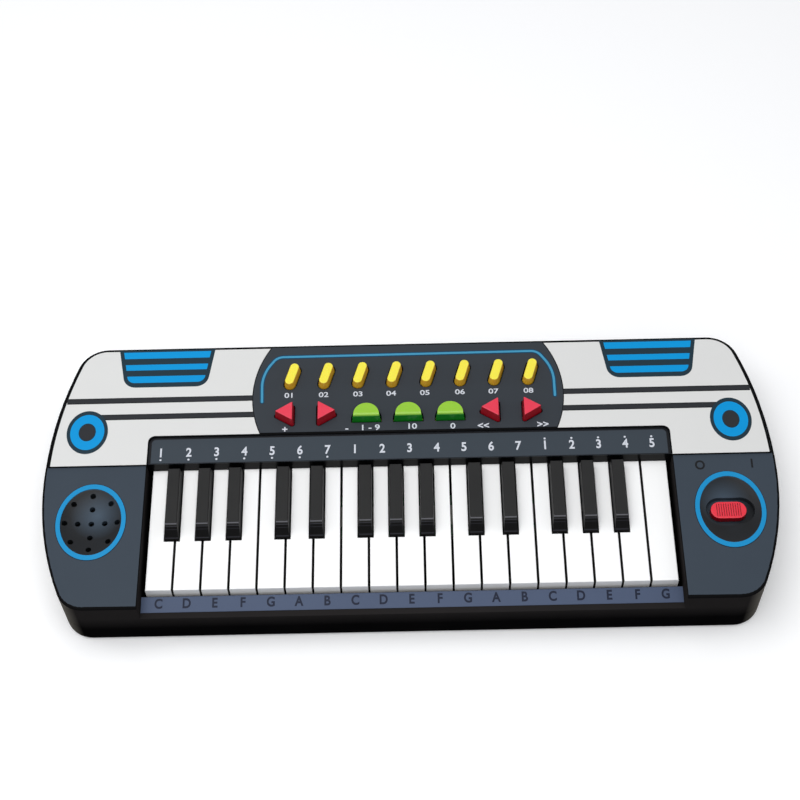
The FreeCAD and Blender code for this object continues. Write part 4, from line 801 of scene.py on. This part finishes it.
# %% Lay the pale side sheets
STRIP_CORNER, STRIP_GAP, STRIP_INSET, SHEET_AHEAD = 4, 0.6, 0.5, 0.85
sheet_front = strip_front - SHEET_AHEAD
strip_end = half_well - STRIP_INSET
sheet_right = back_right(SHEET_INSET, sheet_front) + panel_side(SHEET_GAP)
inner_x, inner_y = strip_end + STRIP_GAP, deck_front + STRIP_GAP
sheet_right += arc((inner_x - STRIP_CORNER, inner_y - STRIP_CORNER), STRIP_CORNER, 90, 0, 8)
sheet_right.append((inner_x, sheet_front))
for side, turned in SIDES:
    sheet("side_sheet_" + side, [turned(sheet_right)], deck_top, SHEET_THICK, film_pale, rim=0.1)
sheet_top = deck_top + SHEET_THICK
print("side sheets reach from %.1f to %.1f mm" % (PANEL_BACK, half_wide - SHEET_INSET))

# %% [markdown]
# The number strip lies between the keys and the deck, at the level of the wings. A dark sheet with
# two round corners makes its edge, and the slate sheet on it leaves a dark line at the sides and
# along the back.

# %% The number strip
EDGE_THICK, FACE_THICK = 0.08, 0.1


def strip_outline(side, front, back):
    """The strip's outline, moved in by so much at the sides, the front and the back."""
    end, far, radius = strip_end - side, deck_front - back, STRIP_CORNER - side
    near = strip_front + front
    return rounded([(-end, near, 0), (end, near, 0), (end, far, radius), (-end, far, radius)])


sheet("strip_edge", [strip_outline(side=0.1, front=0.1, back=0.1)], wing_top, EDGE_THICK,
      ink_black)
sheet("strip_face", [strip_outline(side=1.5, front=0.45, back=1.25)], wing_top + EDGE_THICK,
      FACE_THICK, film_slate, rim=0.04)
strip_top = wing_top + EDGE_THICK + FACE_THICK
print("strip %.1f mm deep" % (deck_front - strip_front))

# %% [markdown]
# ## Stripes, vents and targets
# All of these are printed shapes laid on the side sheets. Each is made once for the right and
# mirrored for the left, because the toy is symmetrical there. The two long stripes run from the
# button panel: the back one to the sheet's outer edge, the front one into the round target. A
# stripe is a dark line with a slightly paler middle.

# %% Long stripes
TARGET, TARGET_LAP = (182.6, 26.05), 6.5
BACK_STRIPE, FRONT_STRIPE = (45.0, 48.7), (33.9, 37.6)
STRIPE_EDGE, CORE_THICK = 0.55, INK * 1.6


def stripe(low, high, out):
    """A straight band from the button panel out to a place along X."""
    return [(panel_x(low), low), (out, low), (out, high), (panel_x(high), high)]


back_end = edge_x(sum(BACK_STRIPE) / 2, SHEET_INSET)
for name, (low, high), out in (("back_stripe_", BACK_STRIPE, back_end),
                               ("front_stripe_", FRONT_STRIPE, TARGET[0] - TARGET_LAP)):
    for side, turned in SIDES:
        sheet(name + "edge_" + side, [turned(stripe(low, high, out))], sheet_top, INK,
              ink_black)
        core = stripe(low + STRIPE_EDGE, high - STRIPE_EDGE, out)
        sheet(name + side, [turned(core)], sheet_top, CORE_THICK, ink_line)
print("stripes laid")

# %% [markdown]
# A target is three ovals: a dark rim, a blue ring and a dark middle, each a layer above the last.

# %% Targets
RINGS = (("target_rim_", (11.7, 14.2), None, ink_teal),
         ("target_blue_", (9.7, 11.6), (4.9, 5.9), ink_blue),
         ("target_dot_", (4.3, 5.2), None, ink_line))
for side, turned in SIDES:
    for order, (name, outer, inner, finish) in enumerate(RINGS, 2):
        outlines = [turned(oval(TARGET, *outer))]
        if inner:
            outlines.append(turned(oval(TARGET, *inner)))
        sheet(name + side, outlines, sheet_top, INK * order, finish)
print("targets laid")

# %% [markdown]
# The vents are prints too: a dark shape that narrows towards the front, with three blue louvres.

# %% Vent prints
VENT_BACK, VENT_FRONT, VENT_EDGE, VENT_CORNER = 81.2, 55.6, 2.3, 7.5
NEAR, FAR = (112.0, 116.0), (168.0, 163.4)
LOUVRES = ((75.4, 79.9, 0), (67.3, 71.2, 0), (58.7, 63.2, 4.5))


def vent_x(y, ends):
    """One edge of the vent at a place between its back and its front."""
    return ends[0] + (ends[1] - ends[0]) * (VENT_BACK - y) / (VENT_BACK - VENT_FRONT)


vent = rounded([(NEAR[0], VENT_BACK, 0), (NEAR[1], VENT_FRONT, VENT_CORNER),
                (FAR[1], VENT_FRONT, VENT_CORNER), (FAR[0], VENT_BACK, 0)])
for side, turned in SIDES:
    sheet("vent_base_" + side, [turned(vent)], sheet_top, INK, ink_teal)
    for order, (low, high, radius) in enumerate(LOUVRES, 1):
        bar = rounded([(vent_x(low, NEAR) + VENT_EDGE, low, radius),
                       (vent_x(low, FAR) - VENT_EDGE, low, radius),
                       (vent_x(high, FAR) - VENT_EDGE, high, 0),
                       (vent_x(high, NEAR) + VENT_EDGE, high, 0)])
        sheet("vent_bar_%s_%d" % (side, order), [turned(bar)], sheet_top, INK * 2, ink_blue)
print("vent prints laid")

# %% [markdown]
# A thin blue line frames the buttons: up one side, round a corner, along the back and down the
# other side. Only a closed outline fills itself, so we go along one side of the line, round its
# end, back along the other side and round the start. A wider band of deeper blue below it makes
# its soft edge.

# %% The blue line round the buttons
LINE_ROUND, LINE_TIGHT = 26, 7
LINE_WIDE, LINE_EDGE_WIDE = 1.35, 2.5
line_path = [Vector(spot) for spot in rounded([
    (-83.7, 44.0, 0), (-84.2, 62.5, LINE_ROUND), (-75.5, 74.4, LINE_TIGHT),
    (75.5, 75.1, LINE_TIGHT), (84.2, 62.5, LINE_ROUND), (84.2, 44.5, 0)], 12)]


def band(path, wide):
    """A closed outline of even width along an open path, with round ends."""
    sides = ([], [])
    for order, spot in enumerate(path):
        ahead = path[min(order + 1, len(path) - 1)] - path[max(order - 1, 0)]
        out = Vector((-ahead.y, ahead.x)).normalized() * wide / 2
        sides[0].append(tuple(spot + out))
        sides[1].append(tuple(spot - out))
    ends = []
    for spot, step in ((path[-1], path[-1] - path[-2]), (path[0], path[0] - path[1])):
        facing = math.degrees(math.atan2(step.y, step.x))
        ends.append(arc(spot, wide / 2, facing + 90, facing - 90, 8)[1:-1])
    return sides[0] + ends[0] + sides[1][::-1] + ends[1]


panel_level = box("graphic_film")[1].z
sheet("panel_line_edge", [band(line_path, LINE_EDGE_WIDE)], panel_level, INK, ink_deep_blue)
sheet("panel_line", [band(line_path, LINE_WIDE)], panel_level, INK * 2, ink_panel_blue)
print("panel line has", len(line_path), "points along it")

# %% [markdown]
# ## The rings
# A blue ring sits round each dish on the wings, the speaker's on the left and the power switch's
# on the right. It is a thin moulded insert, so it gets a softer rim than the prints. A thin black
# line shows round it, and on its inner side that line is painted shade where the dish falls away.

# %% Rings round the dishes
RING_OUT, RING_IN, RING_BACK = (19.4, 23.6), (16.9, 20.6), 0.1
RING_THICK, LINE_OUT, INNER_SHADE_LINE = 0.3, 0.3, 0.1
for name, x in (("ring_speaker", -dish_x), ("ring_switch", dish_x)):
    middle_of_ring = (x, dish_y + RING_BACK)
    # The black sheet under each ring shows as a thin line; on its inner side it is painted shade.
    sheet(name + "_edge",
          [oval(middle_of_ring, RING_OUT[0] + LINE_OUT, RING_OUT[1] + LINE_OUT),
           oval(middle_of_ring, RING_IN[0] - INNER_SHADE_LINE, RING_IN[1] - INNER_SHADE_LINE)],
          wing_top, INK, ink_black)
    sheet(name, [oval(middle_of_ring, *RING_OUT), oval(middle_of_ring, *RING_IN)], wing_top,
          RING_THICK, ink_ring, rim=0.12)
print("rings at x = %.1f mm" % dish_x)

# %% [markdown]
# ## Numbers and letters
# The strip carries the plain count of notes, with a dot below for the low octave and a dot above
# for the high one, and the ledge carries the note letters. A text curve gives clean letter shapes;
# a small outward offset makes them bold, a narrower x scale makes them slim, and a hair of
# thickness makes them ink.

# %% Write on a surface
def write(name, words, level, finish, size, bold=0.1, slim=1.0, tilt=0.0):
    """Several words at (x, y) places, joined into one piece of ink."""
    written = []
    for text, x, y in words:
        curve = bpy.data.curves.new(name, "FONT")
        curve.body, curve.size = text, size
        curve.align_x, curve.align_y = "CENTER", "CENTER"
        curve.offset, curve.extrude = bold, INK / 2
        made = bpy.data.objects.new(name, curve)
        height = level(y) if callable(level) else level
        made.matrix_world = (Matrix.Translation((x, y, height)) @ Matrix.Rotation(tilt, 4, "X")
                             @ Matrix.Diagonal((slim, 1, 1, 1)))
        written.append(collect("%s_part" % name, made, finish))
    whole = written[0]
    if len(written) > 1:
        with bpy.context.temp_override(active_object=whole, selected_editable_objects=written):
            bpy.ops.object.join()
    whole.name = name
    return whole


print("words become one welded piece")

# %% [markdown]
# The digits don't stand quite over the keys, because the strip was drawn with its own spacing: it
# is a little wider at the left than at the right, which the bow gives. The dots are small and stand
# straight above or below a digit.

# %% Numbers on the strip
DIGIT_START, DIGIT_PITCH, DIGIT_BOW, DIGIT_Y = -140.0, 15.38, 2.0, 12.0
NOTES, DOT_BELOW, DOT_ABOVE, DOT_ROUND = 7, 4.4, 4.5, 0.62
half_row = (WHITE_KEYS - 1) / 2
digit_x = [DIGIT_START + DIGIT_PITCH * n + DIGIT_BOW * (1 - (n / half_row - 1) ** 2)
           for n in range(WHITE_KEYS)]
write("strip_numbers", [(str(n % NOTES + 1), x, DIGIT_Y) for n, x in enumerate(digit_x)],
      strip_top + INK / 2, ink_white, 7.8, bold=0.2, slim=0.84)
dots = ([(x, DIGIT_Y - DOT_BELOW) for x in digit_x[:NOTES]]
        + [(x, DIGIT_Y + DOT_ABOVE) for x in digit_x[2 * NOTES:]])
sheet("strip_dots", [oval(spot, DOT_ROUND, DOT_ROUND, 20) for spot in dots], strip_top, INK,
      ink_white)
print("numbers on the strip:", len(digit_x))

# %% [markdown]
# The ledge rises towards the keys, so its letters lie on the slope: each one is placed at the
# ledge's height there and tilted by the ledge's own angle.

# %% Letters on the ledge
LEDGE_RISE, LEDGE_DEEP, LEDGE_DROP = 1.5, 12.4, 6.5
LEDGE_SLOPE = LEDGE_RISE / LEDGE_DEEP
LETTERS, LETTER_Y = "CDEFGAB", -75.7
key_x = [middle("white_key_%02d" % n).x for n in range(1, WHITE_KEYS + 1)]


def ledge_top(y):
    """The height of the letter strip's surface, with half a layer of ink."""
    return key_top - LEDGE_DROP + (y + half_deep) * LEDGE_SLOPE + SHEET_THICK + INK / 2


write("key_letters", [(LETTERS[n % NOTES], x, LETTER_Y) for n, x in enumerate(key_x)], ledge_top,
      ink_navy, 7.6, bold=0.25, slim=0.84, tilt=math.atan(LEDGE_SLOPE))
print("letters on the ledge:", LETTERS)

# %% [markdown]
# Every button has a plain mark in front of it: counting numbers under the yellow ones, a range and
# two numbers under the green ones, and signs for more, less, back and ahead under the red ones. The
# switch has a mark on each side, for off and on.

# %% Marks under the buttons
PILL_MARKS = {"01": -68.1, "02": -48.4, "03": -28.6, "04": -9.6, "05": 9.8, "06": 29.9,
              "07": 49.1, "08": 69.2}
PILL_MARK_Y = 47.9
mark_level = panel_level + INK / 2
write("pill_numbers", [(text, x, PILL_MARK_Y) for text, x in PILL_MARKS.items()], mark_level,
      ink_white, 4.6, bold=0.08, slim=1.25)
write("green_marks", [("1 - 9", -21.8, 25.3), ("10", 1.9, 25.6), ("0", 25.2, 25.2)], mark_level,
      ink_white, 5.0, bold=0.1, slim=1.2)
write("red_marks", [("+", -70.2, 25.1), ("-", -35.0, 25.2), ("<<", 42.5, 24.9),
                    (">>", 76.2, 25.0)], mark_level, ink_white, 5.8, bold=0.15)
write("switch_marks", [("O", 162.3, -3.0), ("I", 191.3, -2.5)], wing_top + INK / 2, ink_black,
      7.8, bold=0.2, slim=0.9)
print("marks under the buttons and beside the switch")

# %% [markdown]
# ## Light and floor
# A plain studio: one large soft lamp overhead and towards the front, a weaker one on each side,
# and a white room. The camera and every reflection see the room as pure white, but the light
# that the room itself gives is held back, so that a colour comes out about as it is written.

# %% The room
world = bpy.data.worlds.new("room")
bpy.context.scene.world = world
world.use_nodes = True
room = Nodes(world.node_tree)
ROOM_LIGHT = (0.40, 0.41, 0.43, 1)
room.feed(world.node_tree.nodes["Background"],
          {"Color": room.mix(room.seen_directly(), ROOM_LIGHT, (1, 1, 1, 1))})
print("room light", ROOM_LIGHT[:3])

# %% [markdown]
# A large lamp close by gives soft shadows with no hard edge. The lamps are placed in metres, and
# each turns to face the middle of the toy.

# %% The lamps
def soft_lamp(name, place, wide, deep, watts):
    """A rectangular lamp, placed in metres, that faces the middle of the toy."""
    lamp = bpy.data.lights.new(name, "AREA")
    lamp.shape, lamp.size, lamp.size_y, lamp.energy = "RECTANGLE", wide, deep, watts
    made = bpy.data.objects.new(name, lamp)
    bpy.context.scene.collection.objects.link(made)
    made.location = place
    made.rotation_euler = (-Vector(place)).to_track_quat("-Z", "Y").to_euler()


soft_lamp("lamp_top", (-0.15, -0.12, 1.0), 1.1, 0.8, 7.4)
soft_lamp("lamp_left", (-1.0, 0.1, 0.6), 0.6, 0.6, 1.0)
soft_lamp("lamp_right", (1.0, 0.1, 0.6), 0.6, 0.6, 0.8)
print("lamps:", len(bpy.data.lights))

# %% [markdown]
# The floor is one wide sheet that curves up behind, so no horizon line shows. It is white to the
# camera and in reflections, yet it still takes the toy's soft shadow. The lamps reach less far than
# the floor does, so a glow that grows with distance keeps the far floor white.

# %% The floor
GLOW_FROM, GLOW_GAIN = 0.5, 0.7


def pale_floor():
    """A wide floor with a curved back edge."""
    reach, bend, steps = 3.0, 0.6, 8
    turns = [math.radians(90 * step / steps) for step in range(steps + 1)]
    rows = [(-reach, 0.0)] + [(reach + bend * math.sin(turn), bend - bend * math.cos(turn))
                              for turn in turns]
    work = bmesh.new()
    made = [[work.verts.new((x, y, z)) for x in (-reach, reach)] for y, z in rows]
    for low, high in zip(made, made[1:]):
        work.faces.new((low[0], low[1], high[1], high[0]))
    mesh = bpy.data.meshes.new("floor")
    work.to_mesh(mesh)
    work.free()
    floor = bpy.data.objects.new("floor", mesh)
    bpy.context.scene.collection.objects.link(floor)
    paint = Paint("floor_white", {"Roughness": 0.9, "Specular IOR Level": 0.0,
                                  "Emission Strength": 1.0})
    seen = paint.seen_directly()
    out = paint.add("ShaderNodeVectorMath", {"operation": "LENGTH"}, {0: paint.place()}, "Value")
    far = ((out - GLOW_FROM) * GLOW_GAIN).share()
    glow = paint.mix(far, (0.14, 0.14, 0.14, 1), (0.65, 0.65, 0.65, 1))
    paint.feed(paint.shader, {
        "Base Color": paint.mix(seen, tone(200, 200, 200), tone(250, 250, 250)),
        "Emission Color": paint.mix(seen, (0, 0, 0, 1), glow)})
    mesh.materials.append(paint.material)
    floor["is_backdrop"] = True


pale_floor()
bpy.context.scene.view_settings.view_transform = "Standard"
print("floor and view set")

# %% Finish
visual_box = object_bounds()
for name, corners in (("frame", cad_box), ("finished", visual_box)):
    print(name, "box in mm", [[round(v / MM, 2) for v in corner] for corner in corners])
